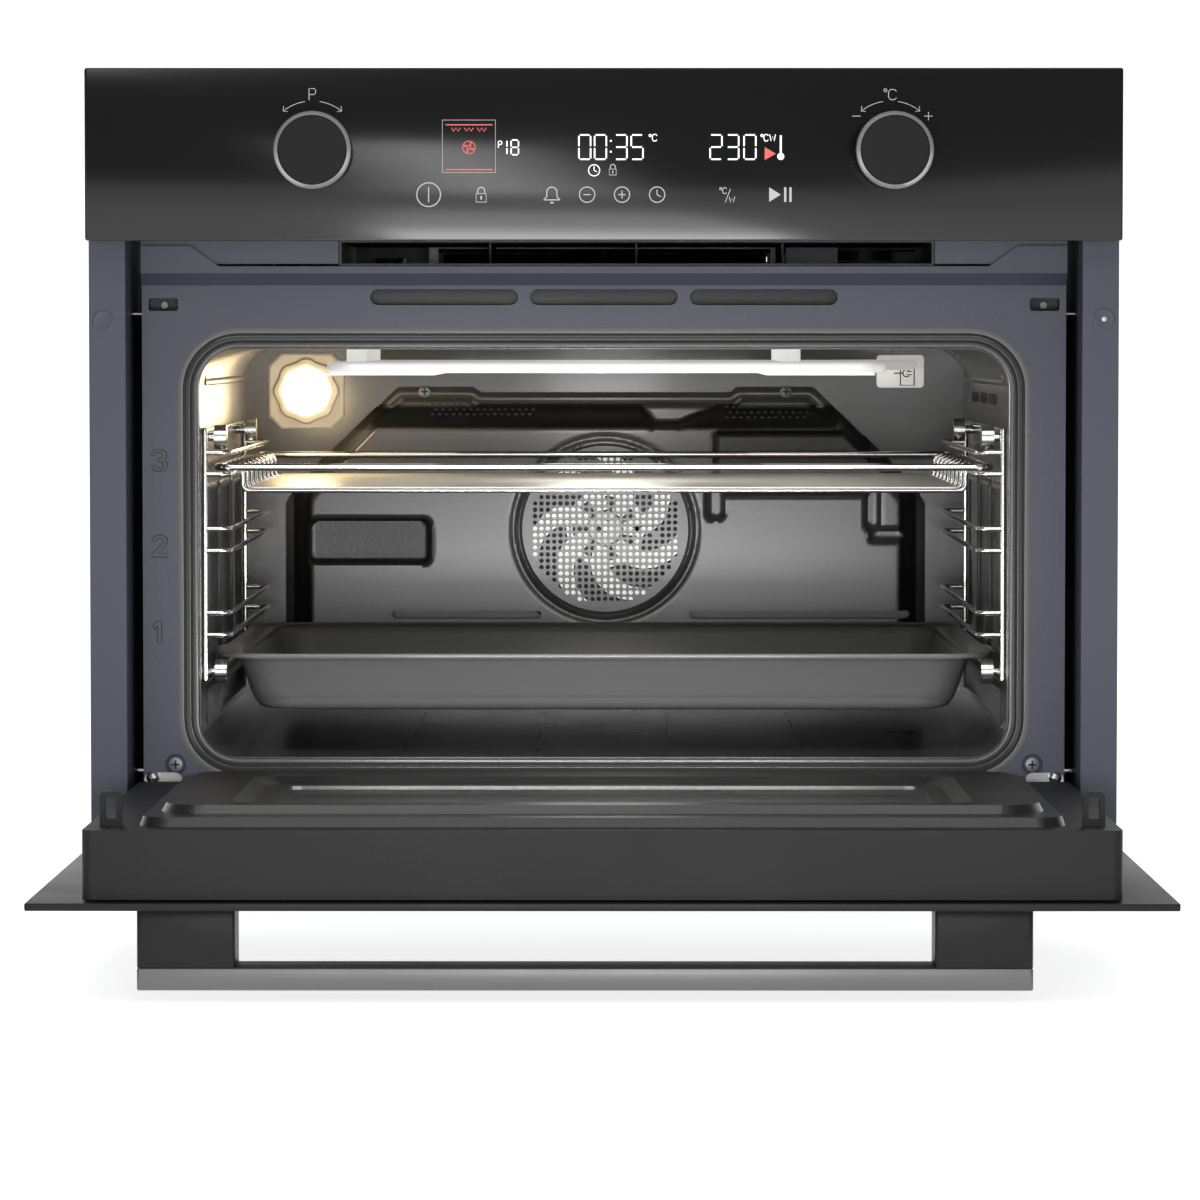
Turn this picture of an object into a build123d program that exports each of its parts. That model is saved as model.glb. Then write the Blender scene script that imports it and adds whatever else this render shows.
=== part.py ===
from build123d import *
import math
import os

# Compact built-in combination oven, as separate pieces, in millimetres.
#
# X runs to the right as the cook faces the oven, Y runs into the niche and Z up. The origin is the
# middle of the front edge of the base pan's underside, which rests on the niche's shelf, and Y = 0 is
# the front face of the cabinet, which the side flanges lie on. The door is drawn shut and then turned
# down to its open stop, which is how the oven rests here.

os.makedirs("parts", exist_ok=True)

# --- overall sizes -------------------------------------------------------------------------------
front_width = 595.0  # control panel and door glass
front_top = 451.0
front_bottom = -4.0
panel_height = 99.0
panel_gap = 4.0  # between the control panel and the door glass
front_proud = 22.0  # outer glass face in front of the cabinet
glass = 4.0
case_half = 278.1
case_height = 443.0
case_depth = 545.0
sheet = 0.8
thick_sheet = 1.0
upturn = 14.0  # folded-up edges of the base pan
screw_r, screw_hole_r = 1.6, 1.7
rear_screws = [(x, z) for x in (-265.0, 0.0, 265.0) for z in (10.0, 436.0)]
side_screws = [(y, z) for y in (70.0, 300.0) for z in (40.0, 400.0)]
gland_x, gland_z, gland_hole_r, gland_bore_r = -210.0, 395.0, 9.0, 5.0

# --- front frame ---------------------------------------------------------------------------------
frame_y = 29.0
frame_half = 269.5
frame_bottom = 3.0
frame_top = 327.0
strip_y = 22.0
strip_low = 334.0
strip_middle_top = 338.0
strip_end_top = 350.0
strip_end_half = 242.0
strip_middle_half = 224.0
flange_bottom = 15.0
flange_inner = 276.5
return_depth = 80.0
return_overlap = 20.0
frame_return = 16.0  # depth of the frame's folded side edges
vent_width, vent_height, vent_pitch, vent_z = 86.2, 9.3, 93.2, 320.2
slot_x, slot_z, slot_width, slot_height = 257.0, 315.9, 17.2, 7.6
cabinet_screw_x, cabinet_screw_z, cabinet_screw_r = 289.0, 306.7, 2.3
corner_screw_x, corner_screw_z = 250.7, 47.0
latch_back = 66.0
plunger_r, plunger_stroke, plunger_drop = 2.0, 2.5, 0.4
hook_tip = 37.4
hook_half, hook_thick, hook_shift = 5.8, 4.2, -1.6

# --- control panel -------------------------------------------------------------------------------
duct_left, duct_right, duct_low, duct_high, duct_wall = -154.0, 192.0, 338.4, 353.2, 1.2
bracket_gap = 1.0  # between the frame's strip and the bracket
bracket_low = 339.5
housing_back = 20.0
housing_half = 268.0
housing_low, housing_high, housing_wall = 354.5, 441.0, 1.6
lug_xs = [-230.0, 0.0, 230.0]
display_left, display_right, display_low, display_high = -98.0, 108.0, 372.0, 424.0
display_thick = 6.0
board_thick = 1.6
encoder_half, encoder_front, encoder_back = 8.0, -12.0, 1.0

# --- cavity --------------------------------------------------------------------------------------
cavity_half = 236.2
cavity_low = 51.0
cavity_high = 289.7
cavity_corner = 22.0
cavity_front = 32.0
cavity_back = 430.0
ring_band = 13.3
ring_lip = 9.0  # the part of the ring that passes through the frame
ring_lap = 0.8
insulation_thickness = 19.0
insulation_gap = 0.3
plate_z = 310.0  # floor of the electronics compartment
lamp_x, lamp_z, lamp_r, lamp_width, lamp_plate_thick = 196.9, 261.6, 21.3, 50.4, 1.6
anchor_x, anchor_z, anchor_width, anchor_height, anchor_thick = 194.3, 274.6, 31.2, 21.5, 1.4
element_z, element_r, element_gap = 279.0, 3.4, 0.4
terminal_xs = [187.0, 201.0]
terminal_reach = 12.0  # of the element's ends behind the rear wall
guide_x0, guide_x1, guide_y0, guide_y1 = 130.0, 205.0, 238.0, 420.0
antenna_x, antenna_y, antenna_hole_r = 167.5, 380.0, 12.0
baffle_low, baffle_top, baffle_shoulder = 70.0, 257.0, 186.0
baffle_half, baffle_top_half, baffle_draft = 203.0, 133.0, 11.0
baffle_corner = (181.0, 210.0)
baffle_flange = 8.5
baffle_screw_x, baffle_screw_z, baffle_screw_length = 119.0, 261.2, 1.8

# --- door, drawn shut ----------------------------------------------------------------------------
pivot_y, pivot_z = -13.0, 8.0
open_angle = 89.53
door_half = 268.7
door_back = 19.0
door_low = 4.0
door_top = 340.0
door_wall = 1.0
door_gap = 1.0  # between the glass and the door body
pad_half, pad_low, pad_high, pad_rise = 241.5, 12.0, 321.0, 5.0
plug_half, plug_low, plug_high, plug_rise = 233.0, 46.0, 296.0, 9.5
plug_draft = 2.5
window_half, window_low, window_high = 196.0, 91.0, 276.0
ledge_inset, ledge_drop = 8.0, 4.0
sight_inset = 18.0
pane_inset = 10.0
middle_glass_lap = 14.0
hinge_pin_r = 2.0
hinge_arm_r, hinge_arm_gap, hinge_arm_thick = 4.4, 1.5, 3.0
block_width, block_height = 12.0, 150.0
block_round = 4.2  # follows the door body's inside corner
spring_low, spring_high, spring_r = 30.0, 145.0, 4.2
running = 0.05
handle_shift = -9.0
handle_length = 465.0
handle_height = 36.5
handle_thick = 11.8
handle_gap = 31.8
handle_drop = 22.0  # below the glass's top edge
post_width, post_height = 51.0, 32.0

# --- shelves -------------------------------------------------------------------------------------
wire = 3.2
rail_inner = 219.5
post_x = 234.3
rack_front, rack_back = 45.0, 381.0
levels = [(121.9, 134.9), (171.4, 184.3), (216.5, 229.1)]
bush_r, bush_length, bush_end = 7.2, 7.1, 222.5
bush_ys = [60.0, 320.0]
bush_top_z, bush_low_z = 238.0, 99.7
bush_pin_r = 2.5
slide_gap = 0.3
rack_half, rack_rod = 229.5, 4.2
bed_half = 214.0
bed_drop, bed_wire_r = 14.2, 1.5
shelf_front, shelf_back = 47.0, 399.0
tray_half, tray_bottom_half = 216.0, 208.5
tray_low = 75.4
tray_corner, tray_foot_round = 24.0, 16.0
tray_wall = 1.0
tray_rim = 3.6

# --- knobs and fans ------------------------------------------------------------------------------
knob_x, knob_z, knob_r, knob_length = 166.2, 403.5, 22.7, 15.4
knob_shaft_r = 3.0
fan_z = 171.7
grille_r = 56.0
baffle_front = 402.0
impeller_r = 58.0
impeller_gap, blade_depth, blade_count = 5.0, 14.0, 7
ring_y, ring_gap, ring_r = 418.0, 10.0, 3.2  # round heating element
motor_front, motor_back, motor_half = 466.0, 500.0, 34.0
fan_shaft_r = 3.5
blower_y, blower_z, blower_r, blower_half = 240.0, 352.0, 22.0, 100.0
blower_shaft_r = 2.5
blower_front = 200.0

# --- worked out ----------------------------------------------------------------------------------
case_inner = case_half - sheet
glass_top = front_top - panel_height - panel_gap
panel_low = front_top - panel_height
glass_face = -front_proud
glass_inside = glass_face + glass
cavity_mid = (cavity_low + cavity_high) / 2
cavity_height = cavity_high - cavity_low
door_front = glass_inside + door_gap
frame_back = frame_y + thick_sheet
bracket_y = strip_y + thick_sheet + bracket_gap
lamp_front = cavity_back - lamp_plate_thick
ledge_back = door_back + plug_rise - ledge_drop - door_wall
shelf_z = levels[2][0] + wire / 2 + slide_gap + rack_rod / 2
tray_lip = bush_low_z + bush_r + slide_gap
floor_top = plate_z + thick_sheet


def box(x0, x1, y0, y1, z0, z1):
    """A block between two corners."""
    middle = Pos((x0 + x1) / 2, (y0 + y1) / 2, (z0 + z1) / 2)
    return middle * Box(abs(x1 - x0), abs(y1 - y0), abs(z1 - z0))


def slab(outline, y0, y1):
    """A front view outline, x across and z up, made solid from depth y0 to y1."""
    plane = Plane(origin=(0, y1, 0), x_dir=(1, 0, 0), z_dir=(0, -1, 0))
    return extrude(plane * outline, amount=y1 - y0)


def rail(outline, x0, x1):
    """A side view outline, y across and z up, made solid from x0 to x1."""
    plane = Plane(origin=(x0, 0, 0), x_dir=(0, 1, 0), z_dir=(1, 0, 0))
    return extrude(plane * outline, amount=x1 - x0)


def rounded(x0, x1, z0, z1, radius):
    """A rectangle with round corners between two points of a view."""
    return Pos((x0 + x1) / 2, (z0 + z1) / 2) * RectangleRounded(x1 - x0, z1 - z0, radius)


def rod(start, end, radius):
    """A straight round bar between two points."""
    a, b = Vector(*start), Vector(*end)
    return extrude(Plane(origin=a, z_dir=b - a) * Circle(radius), amount=(b - a).length)


def bent(points, bend, radius):
    """A round bar that follows straight runs with an arc of the given bend at each corner."""
    path = FilletPolyline(*points, radius=bend)
    return sweep(Plane(origin=path @ 0, z_dir=path % 0) * Circle(radius), path=path)


def mirrored(shape):
    """The same shape on the oven's other side."""
    return mirror(shape, about=Plane.YZ)


def opened(shape):
    """A door piece turned from shut to the open stop."""
    return shape.rotate(Axis((0, pivot_y, pivot_z), (1, 0, 0)), open_angle)


def save(name, *shapes):
    """Write one node."""
    whole = shapes[0] if len(shapes) == 1 else Compound(children=list(shapes))
    export_step(whole, f"parts/{name}.step")


def pair(name, shape):
    """Write a right piece and its mirror image."""
    save(f"{name}_right", shape)
    save(f"{name}_left", mirrored(shape))


# --- casing --------------------------------------------------------------------------------------
def base_pan():
    """Floor of the carcass with its three upturned edges."""
    pan = box(-case_inner, case_inner, 0, case_depth - sheet, 0, thick_sheet)
    edge = box(case_inner - thick_sheet, case_inner, 0, case_depth - sheet, 0, upturn)
    back = box(-case_inner, case_inner, case_depth - sheet - thick_sheet, case_depth - sheet, 0, upturn)
    rib = box(2 - frame_half, frame_half - 2, frame_back, frame_back + thick_sheet, 0, upturn)
    pan += [edge, mirrored(edge), back, rib]
    screws = [Pos(x, z) * Circle(screw_hole_r) for x, z in rear_screws if z < upturn]
    return pan - slab(Sketch() + screws, case_depth - 5, case_depth)


def outer_casing():
    """Top and sides of the carcass in one folded sheet, with louvres for the cooling air."""
    outside = Pos(0, case_height / 2) * Rectangle(2 * case_half, case_height)
    inside = Pos(0, (case_height - sheet) / 2) * Rectangle(2 * case_inner, case_height - sheet)
    start = return_depth - return_overlap
    wrap = slab(outside - inside, start, case_depth)
    louvre = RectangleRounded(34, 4, 1.9)
    rows = [Pos(y, z) * louvre for y in (400.0, 444.0, 488.0) for z in (350.0, 362.0, 374.0)]
    rows += [Pos(y, z) * Circle(screw_hole_r) for y, z in side_screws]
    return wrap - rail(Sketch() + rows, -case_half - 1, case_half + 1)


def rear_panel():
    """Back of the carcass with its vents and the cable entry."""
    plate = Pos(0, (case_height - sheet) / 2) * Rectangle(2 * case_inner, case_height - sheet)
    vent = RectangleRounded(40, 5, 2.4)
    vents = [Pos(x, z) * vent for x in (-90.0, -30.0, 30.0, 90.0, 150.0) for z in (350.0, 364.0, 378.0)]
    vents += [Pos(x, z) * vent for x in (-60.0, 0.0, 60.0) for z in (120.0, 172.0, 224.0)]
    screws = [Pos(x, z) * Circle(screw_hole_r) for x, z in rear_screws]
    entry = Pos(gland_x, gland_z) * Circle(gland_hole_r)
    return slab(plate - (vents + screws + [entry]), case_depth - sheet, case_depth)


def side_flange():
    """Strip that lies on the cabinet's edge, folded back into the niche."""
    outer = front_width / 2
    strip = box(flange_inner, outer, -sheet, 0, flange_bottom, case_height)
    fold = box(flange_inner, case_inner, -sheet, return_depth, flange_bottom, case_height - sheet)
    hole = Pos(cabinet_screw_x, cabinet_screw_z) * Circle(cabinet_screw_r)
    side_holes = [Pos(y, z) * Circle(screw_hole_r) for y, z in side_screws if y < return_depth]
    flange = strip + fold - slab(hole, -5, 5)
    return flange - rail(Sketch() + side_holes, flange_inner - 1, case_inner + 1)


def pan_screw(head_r, head_height, shank_r, shank_length):
    """A low domed screw, its head's underside at the origin and its shank along +Z."""
    head = Pos(0, 0, -head_height) * extrude(Circle(head_r), head_height)
    head = fillet(head.edges().sort_by(Axis.Z)[0], head_height * 0.6)
    drive = Box(head_r * 1.1, 0.8, 1.2) + Box(0.8, head_r * 1.1, 1.2)
    return head + extrude(Circle(shank_r), shank_length) - Pos(0, 0, -head_height) * drive


def casing_screws():
    """Screws of the rear panel and of the casing's sides."""
    screw = pan_screw(4.0, 2.0, screw_r, 7.0)
    rear = [Pos(x, case_depth, z) * Rot(90, 0, 0) * screw for x, z in rear_screws]
    right = [Pos(case_half, y, z) * Rot(0, -90, 0) * screw for y, z in side_screws]
    left = [Pos(-case_half, y, z) * Rot(0, 90, 0) * screw for y, z in side_screws]
    return rear + right + left


def front_frame():
    """Painted front plate with its forward top strip, cavity hole, vents and latch slots."""
    profile = Polyline(
        (frame_y, frame_bottom), (frame_y, frame_top), (strip_y, strip_low), (strip_y, strip_end_top),
        (strip_y + thick_sheet, strip_end_top), (strip_y + thick_sheet, strip_low + 0.4),
        (frame_back, frame_top + 0.4), (frame_back, frame_bottom), close=True)
    frame = rail(make_face(profile), -frame_half, frame_half)
    side = box(frame_half - thick_sheet, frame_half, frame_y, frame_y + frame_return, frame_bottom, frame_top)
    frame += [side, mirrored(side)]
    dip = Polyline(
        (-strip_end_half, strip_end_top + 1), (-strip_middle_half, strip_middle_top),
        (strip_middle_half, strip_middle_top), (strip_end_half, strip_end_top + 1), close=True)
    frame -= slab(make_face(dip), 0, frame_y)
    inset = ring_lip + 0.4
    hole = rounded(-cavity_half - inset, cavity_half + inset, cavity_low - inset, cavity_high + inset,
                   cavity_corner + inset)
    cuts = [hole]
    cuts += [Pos(x, vent_z) * SlotOverall(vent_width, vent_height) for x in (-vent_pitch, 0, vent_pitch)]
    cuts += [Pos(x, slot_z) * RectangleRounded(slot_width, slot_height, 1.6) for x in (-slot_x, slot_x)]
    cuts += [Pos(x, corner_screw_z) * Circle(screw_hole_r) for x in (-corner_screw_x, corner_screw_x)]
    return frame - slab(Sketch() + cuts, frame_y - 2, frame_back + 1)


def frame_screws():
    """The two screws at the frame's lower corners."""
    screw = pan_screw(4.4, 2.2, screw_r, 4.0)
    right = Pos(corner_screw_x, frame_y, corner_screw_z) * Rot(-90, 0, 0) * screw
    return both(right)


# --- control panel -------------------------------------------------------------------------------
def panel_glass():
    """Black glass front of the control panel."""
    face = rounded(-front_width / 2, front_width / 2, panel_low, front_top, 1.5)
    holes = [Pos(x, knob_z) * Circle(knob_shaft_r + 0.6) for x in (-knob_x, knob_x)]
    return slab(face - holes, glass_face, glass_inside)


def panel_housing():
    """Plastic tray behind the panel glass that carries the electronics."""
    outside = box(-housing_half, housing_half, glass_inside, housing_back, housing_low, housing_high)
    wall = housing_wall
    inside = box(-housing_half + wall, housing_half - wall, glass_inside - 1, housing_back - wall,
                 housing_low + wall, housing_high - wall)
    lugs = [box(x - 6, x + 6, housing_back, bracket_y, 362, 374) for x in lug_xs]
    return outside - inside + lugs


def panel_bracket():
    """Painted plate behind the frame's strip that the panel housing is fixed to."""
    high = case_height - sheet
    plate = slab(Pos(0, (bracket_low + high) / 2) * Rectangle(2 * frame_half, high - bracket_low),
                 bracket_y, bracket_y + thick_sheet)
    return plate - box(duct_left - 0.5, duct_right + 0.5, 0, 2 * bracket_y, bracket_low - 1, duct_high + 0.5)


def air_outlet_duct():
    """Flat black duct from the cooling blower to the slot above the door."""
    outside = box(duct_left, duct_right, bracket_y - 0.5, blower_front, duct_low, duct_high)
    inside = box(duct_left + duct_wall, duct_right - duct_wall, 0, blower_front + 1,
                 duct_low + duct_wall, duct_high - duct_wall)
    vane = box(-0.6, 0.6, 60, blower_front - 20, duct_low + duct_wall, duct_high - duct_wall)
    middle = (duct_left + duct_right) / 2
    return outside - inside + [Pos(middle + x, 0, 0) * vane for x in (-86.0, 0.0, 86.0)]


def display_module():
    """Display behind the middle of the panel glass."""
    display_back = glass_inside + display_thick
    return box(display_left, display_right, glass_inside, display_back, display_low, display_high)


def touch_board():
    """Circuit board with the touch keys and the panel's processor."""
    front = glass_inside + display_thick
    back = front + board_thick
    board = box(display_left - 27, display_right + 27, front, back, display_low - 6, display_high + 6)
    chip = box(-10, 14, back, back + 2.2, 390, 414)
    plug = box(60, 92, back, housing_back - housing_wall, display_low, display_low + 10)
    return board + [chip, plug]


def encoder():
    """Rotary encoder that a knob's shaft turns in."""
    half, foot = encoder_half, encoder_half + 2
    body = box(knob_x - half, knob_x + half, encoder_front, encoder_back, knob_z - half, knob_z + half)
    neck = rod((knob_x, glass_inside + 0.4, knob_z), (knob_x, encoder_front, knob_z), knob_shaft_r + 1.8)
    bore = rod((knob_x, glass_inside, knob_z), (knob_x, encoder_back - 4, knob_z), knob_shaft_r + running)
    wall_front = housing_back - housing_wall
    feet = box(knob_x - foot, knob_x + foot, encoder_back, wall_front, knob_z - foot, knob_z + foot)
    return body + neck + feet - bore


def knob():
    """Round selector with a bevelled rim, and the shaft that it turns."""
    back = glass_face - 0.6
    front = back - knob_length
    body = rod((knob_x, back, knob_z), (knob_x, front, knob_z), knob_r)
    rim = body.edges().filter_by(GeomType.CIRCLE).sort_by(Axis.Y)[0]
    body = chamfer(rim, 3.1)
    return body + rod((knob_x, back, knob_z), (knob_x, encoder_back - 4.4, knob_z), knob_shaft_r)


# --- cavity --------------------------------------------------------------------------------------
def cavity_outline(inset):
    """The cavity's cross-section, larger by the inset."""
    return rounded(-cavity_half - inset, cavity_half + inset, cavity_low - inset, cavity_high + inset,
                   cavity_corner + inset)


def opening_frame():
    """Stepped ring round the cavity's mouth."""
    outer_band = cavity_outline(ring_band) - cavity_outline(ring_lip - ring_lap)
    inner_band = cavity_outline(ring_lip) - cavity_outline(0)
    ring = slab(outer_band, frame_y - 1, frame_y) + slab(inner_band, frame_y, cavity_front)
    groove = cavity_outline(5.6) - cavity_outline(4.2)
    return ring - slab(groove, frame_y - 1, frame_y + 1.2)


def cavity_liner():
    """Enamelled oven chamber: a tube with a closed back."""
    tube = slab(cavity_outline(sheet), cavity_front, cavity_back + sheet)
    liner = tube - slab(cavity_outline(0), cavity_front - 1, cavity_back)
    holes = [Pos(0, fan_z) * Circle(fan_shaft_r + 3), Pos(-lamp_x, lamp_z) * Circle(16)]
    holes += [Pos(x, element_z) * Circle(element_r + element_gap) for x in terminal_xs]
    holes += [Pos(x, baffle_screw_z) * Circle(screw_hole_r) for x in (-baffle_screw_x, baffle_screw_x)]
    liner -= slab(Sketch() + holes, cavity_back - 1, cavity_back + 2)
    window = box(guide_x0 + 2, guide_x1 - 2, guide_y0 + 2, guide_y0 + 50, cavity_high - 1, cavity_high + 2)
    return liner - window


def insulation():
    """Mineral wool blanket between the chamber and the carcass."""
    gap = sheet + insulation_gap
    start = frame_back + 4
    low, high = cavity_low - gap - insulation_thickness, plate_z - 1
    half = cavity_half + gap + insulation_thickness
    back = cavity_back + gap + 16
    blanket = box(-half, half, start, back, low, high) - slab(cavity_outline(gap), 0, cavity_back + gap)
    holes = [Pos(0, fan_z) * Circle(46), Pos(-lamp_x, lamp_z) * Circle(20)]
    holes += [Pos(anchor_x, element_z) * Rectangle(40, 20)]
    blanket -= slab(Sketch() + holes, cavity_back, back + 1)
    return blanket - box(guide_x0 - 2, guide_x1 + 2, guide_y0 - 2, guide_y1 + 2, cavity_high, high + 1)


def baffle_outline(half, low, shoulder, corner, top_half, top):
    """Front view of the fan cover: a box with sloping upper corners."""
    right = [(half, low), (half, shoulder), corner, (top_half, top)]
    left = [(-x, z) for x, z in reversed(right)]
    return make_face(Polyline(*right, *left, close=True))


def baffle_box(inset, back):
    """The fan cover's raised part, smaller by the inset."""
    rear = baffle_outline(baffle_half - inset, baffle_low + inset, baffle_shoulder - inset * 0.4,
                          (baffle_corner[0] - inset, baffle_corner[1] - inset * 0.5),
                          baffle_top_half - inset * 0.4, baffle_top - inset)
    front = baffle_outline(baffle_half - baffle_draft - inset, baffle_low + 8 + inset,
                           baffle_shoulder - 6 - inset * 0.4,
                           (baffle_corner[0] - 13 - inset, baffle_corner[1] - 10 - inset * 0.5),
                           baffle_top_half - 13 - inset * 0.4, baffle_top - 21 - inset)
    depth = back - baffle_front - inset
    plane = Plane(origin=(0, back, 0), x_dir=(1, 0, 0), z_dir=(0, -1, 0))
    return loft([plane * rear, plane.offset(depth) * front], ruled=True)


def cavity_baffle():
    """Raised cover in front of the convection fan, with slots for the hot air."""
    shell = baffle_box(0, cavity_back) - baffle_box(sheet, cavity_back + 0.01)
    edge = baffle_flange
    rim = baffle_outline(baffle_half + edge, baffle_low - edge, baffle_shoulder + 3,
                         (baffle_corner[0] + edge * 0.8, baffle_corner[1] + edge * 0.7),
                         baffle_top_half + 4, baffle_top + edge)
    body = baffle_outline(baffle_half - sheet, baffle_low + sheet, baffle_shoulder - 0.3,
                          (baffle_corner[0] - sheet, baffle_corner[1] - 0.4),
                          baffle_top_half - 0.3, baffle_top - sheet)
    shell += slab(rim - body, cavity_back - sheet, cavity_back)
    slots = [Pos(-91, 115.3) * RectangleRounded(98, 5.4, 2.6)]
    slots += [Pos(118, 115.3) * RectangleRounded(126, 5.4, 2.6)]
    slots += [Pos(0, fan_z) * Circle(grille_r - 1.5)]
    slots += [Pos(x, baffle_screw_z) * Circle(screw_hole_r) for x in (-baffle_screw_x, baffle_screw_x)]
    return shell - slab(Sketch() + slots, baffle_front - 1, cavity_back + 1)


def baffle_screws():
    """The two screws of the fan cover."""
    screw = pan_screw(4.0, 2.0, screw_r, baffle_screw_length)
    return both(Pos(baffle_screw_x, cavity_back - sheet, baffle_screw_z) * Rot(-90, 0, 0) * screw)


def fan_grille():
    """Round perforated guard in the fan cover."""
    back = baffle_front + sheet
    disc = Circle(grille_r)
    rings = range(1, 6)
    holes = [Circle(2.5)]
    for ring in rings:
        holes += [loc * Circle(2.5) for loc in PolarLocations(ring * 9.0, 6 * ring)]
    holes = [Pos(0, fan_z) * hole for hole in holes]
    return slab(Pos(0, fan_z) * disc - holes, back, back + sheet)


def fan_impeller():
    """Convection fan wheel on its shaft."""
    front = baffle_front + impeller_gap
    disc = rod((0, front + blade_depth, fan_z), (0, front + blade_depth + 1.2, fan_z), impeller_r)
    hub = rod((0, front + 2, fan_z), (0, front + blade_depth + 1, fan_z), 11.0)
    shaft = rod((0, front, fan_z), (0, motor_back - 6, fan_z), fan_shaft_r)
    wheel = disc + hub + shaft
    arc = ThreePointArc((9.5, 0), (34, -9), (impeller_r - 1.5, 6))
    blade = slab(trace(arc, 1.2), front, front + blade_depth + 0.6)
    for step in range(blade_count):
        wheel += Pos(0, 0, fan_z) * Rot(0, step * 360 / blade_count, 0) * blade
    return wheel


def fan_motor():
    """Convection fan motor with its bearing bore, on four legs off the chamber's back."""
    stator = box(-motor_half, motor_half, motor_front, motor_back, fan_z - motor_half, fan_z + motor_half)
    bearing = rod((0, motor_front - 10, fan_z), (0, motor_front, fan_z), 10)
    bore = rod((0, motor_front - 11, fan_z), (0, motor_back - 5, fan_z), fan_shaft_r + running)
    reach = motor_half - 6
    legs = [rod((x, cavity_back + sheet, fan_z + z), (x, motor_front, fan_z + z), 3)
            for x in (-reach, reach) for z in (-reach, reach)]
    return stator + legs + bearing - bore


def ring_element():
    """Round heating element that surrounds the fan wheel."""
    radius = impeller_r + ring_gap
    ring = Pos(0, ring_y, fan_z) * Rot(90, 0, 0) * Torus(radius, ring_r)
    low = fan_z - radius
    ends = [rod((x, ring_y, low), (x, cavity_back, low), ring_r - 0.2) for x in (-9.0, 9.0)]
    return ring + ends


def grill_element():
    """Looped grill heating tube under the ceiling, with its two ends through the rear wall."""
    left, z = -162.0, element_z
    inner, outer = terminal_xs
    back, knee, turn = cavity_back + terminal_reach, cavity_back - 14, cavity_back - 50
    points = [(outer, back, z), (outer, knee, z), (outer - 36, turn, z), (outer - 36, 80, z), (left, 80, z),
              (left, 172, z), (135, 172, z), (135, 266, z), (left, 266, z), (left, 360, z),
              (inner - 36, 360, z), (inner - 36, turn, z), (inner, knee, z), (inner, back, z)]
    bends = [3, 6, 16, 16, 16, 16, 16, 16, 16, 9, 6, 3]
    return bent(points, bends, element_r)


def element_brackets():
    """Flat straps that carry the grill element from the ceiling."""
    low = element_z - element_r - 1.2
    straps = []
    for x0, x1 in ((-165.0, -100.0), (96.0, 160.0)):
        strap = box(x0, x1, 70, 376, low, low + 1.0)
        hangers = [box(x0 + 10, x0 + 22, y, y + 1.0, low, cavity_high) for y in (126.0, 219.0, 313.0)]
        straps.append(strap + hangers)
    return straps


def anchor_plate():
    """Pale plate that locks the grill element's ends to the rear wall."""
    plate = Pos(anchor_x, anchor_z) * RectangleRounded(anchor_width, anchor_height, 4.5)
    holes = [Pos(x, element_z) * Circle(element_r + element_gap) for x in terminal_xs]
    return slab(plate - holes, cavity_back - anchor_thick, cavity_back)


def lamp_plate():
    """Eight-sided mounting plate of the oven lamp."""
    half, cut = lamp_width / 2, 8.0
    corners = [(half, half - cut), (half - cut, half), (cut - half, half), (-half, half - cut),
               (-half, cut - half), (cut - half, -half), (half - cut, -half), (half, cut - half)]
    return slab(Pos(-lamp_x, lamp_z) * (make_face(Polyline(*corners, close=True)) - Circle(17)),
                lamp_front, cavity_back)


def lamp_glass():
    """Domed cover of the lamp."""
    dome = rod((-lamp_x, lamp_front, lamp_z), (-lamp_x, lamp_front - 9, lamp_z), lamp_r)
    front = dome.edges().filter_by(GeomType.CIRCLE).sort_by(Axis.Y)[0]
    dome = fillet(front, 4)
    return dome - rod((-lamp_x, lamp_front + 1, lamp_z), (-lamp_x, lamp_front - 6.5, lamp_z), lamp_r - 2.5)


def lamp_socket():
    """Ceramic socket with its halogen bulb, from behind the rear wall."""
    socket = rod((-lamp_x, cavity_back - 1, lamp_z), (-lamp_x, 470, lamp_z), 15)
    return socket + rod((-lamp_x, lamp_front - 3, lamp_z), (-lamp_x, cavity_back - 1, lamp_z), 5)


def waveguide():
    """Flat metal channel that leads the microwaves to the ceiling."""
    low, high = cavity_high + sheet, plate_z
    outside = box(guide_x0, guide_x1, guide_y0, guide_y1, low, high)
    inside = box(guide_x0 + 1, guide_x1 - 1, guide_y0 + 1, guide_y1 - 1, low + 1, high - 1)
    mouth = box(guide_x0 + 2, guide_x1 - 2, guide_y0 + 2, guide_y0 + 50, low - 1, low + 2)
    port = rod((antenna_x, antenna_y, high - 2), (antenna_x, antenna_y, high + 1), antenna_hole_r)
    return outside - inside - mouth - port


# --- shelf runners and shelves -------------------------------------------------------------------
def side_rack():
    """Wire ladder with a pair of rails for each shelf level."""
    top = bush_top_z + bush_pin_r + wire / 2
    low = bush_low_z - bush_pin_r - wire / 2
    loop = [(post_x, rack_front, low), (post_x, rack_front, top), (post_x, rack_back, top),
            (post_x, rack_back, low)]
    runs = [rod(loop[i], loop[(i + 1) % 4], wire / 2) for i in range(4)]
    knuckles = [Pos(*corner) * Sphere(wire / 2) for corner in loop]
    ladder = runs[0] + runs[1:] + knuckles
    for level in levels:
        for z in level:
            ladder += bent([(post_x, rack_front, z), (rail_inner, rack_front, z), (rail_inner, rack_back, z),
                            (post_x, rack_back, z)], [6, 6], wire / 2)
    return ladder


def rack_bushes():
    """Turned bushes on the side wall that carry the ladder, with the lower ones carrying the tray."""
    turned = []
    for y in bush_ys:
        for z in (bush_top_z, bush_low_z):
            bush = rod((bush_end, y, z), (bush_end + bush_length, y, z), bush_r)
            turned.append(bush + rod((bush_end + bush_length, y, z), (cavity_half, y, z), bush_pin_r))
    return turned


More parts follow.
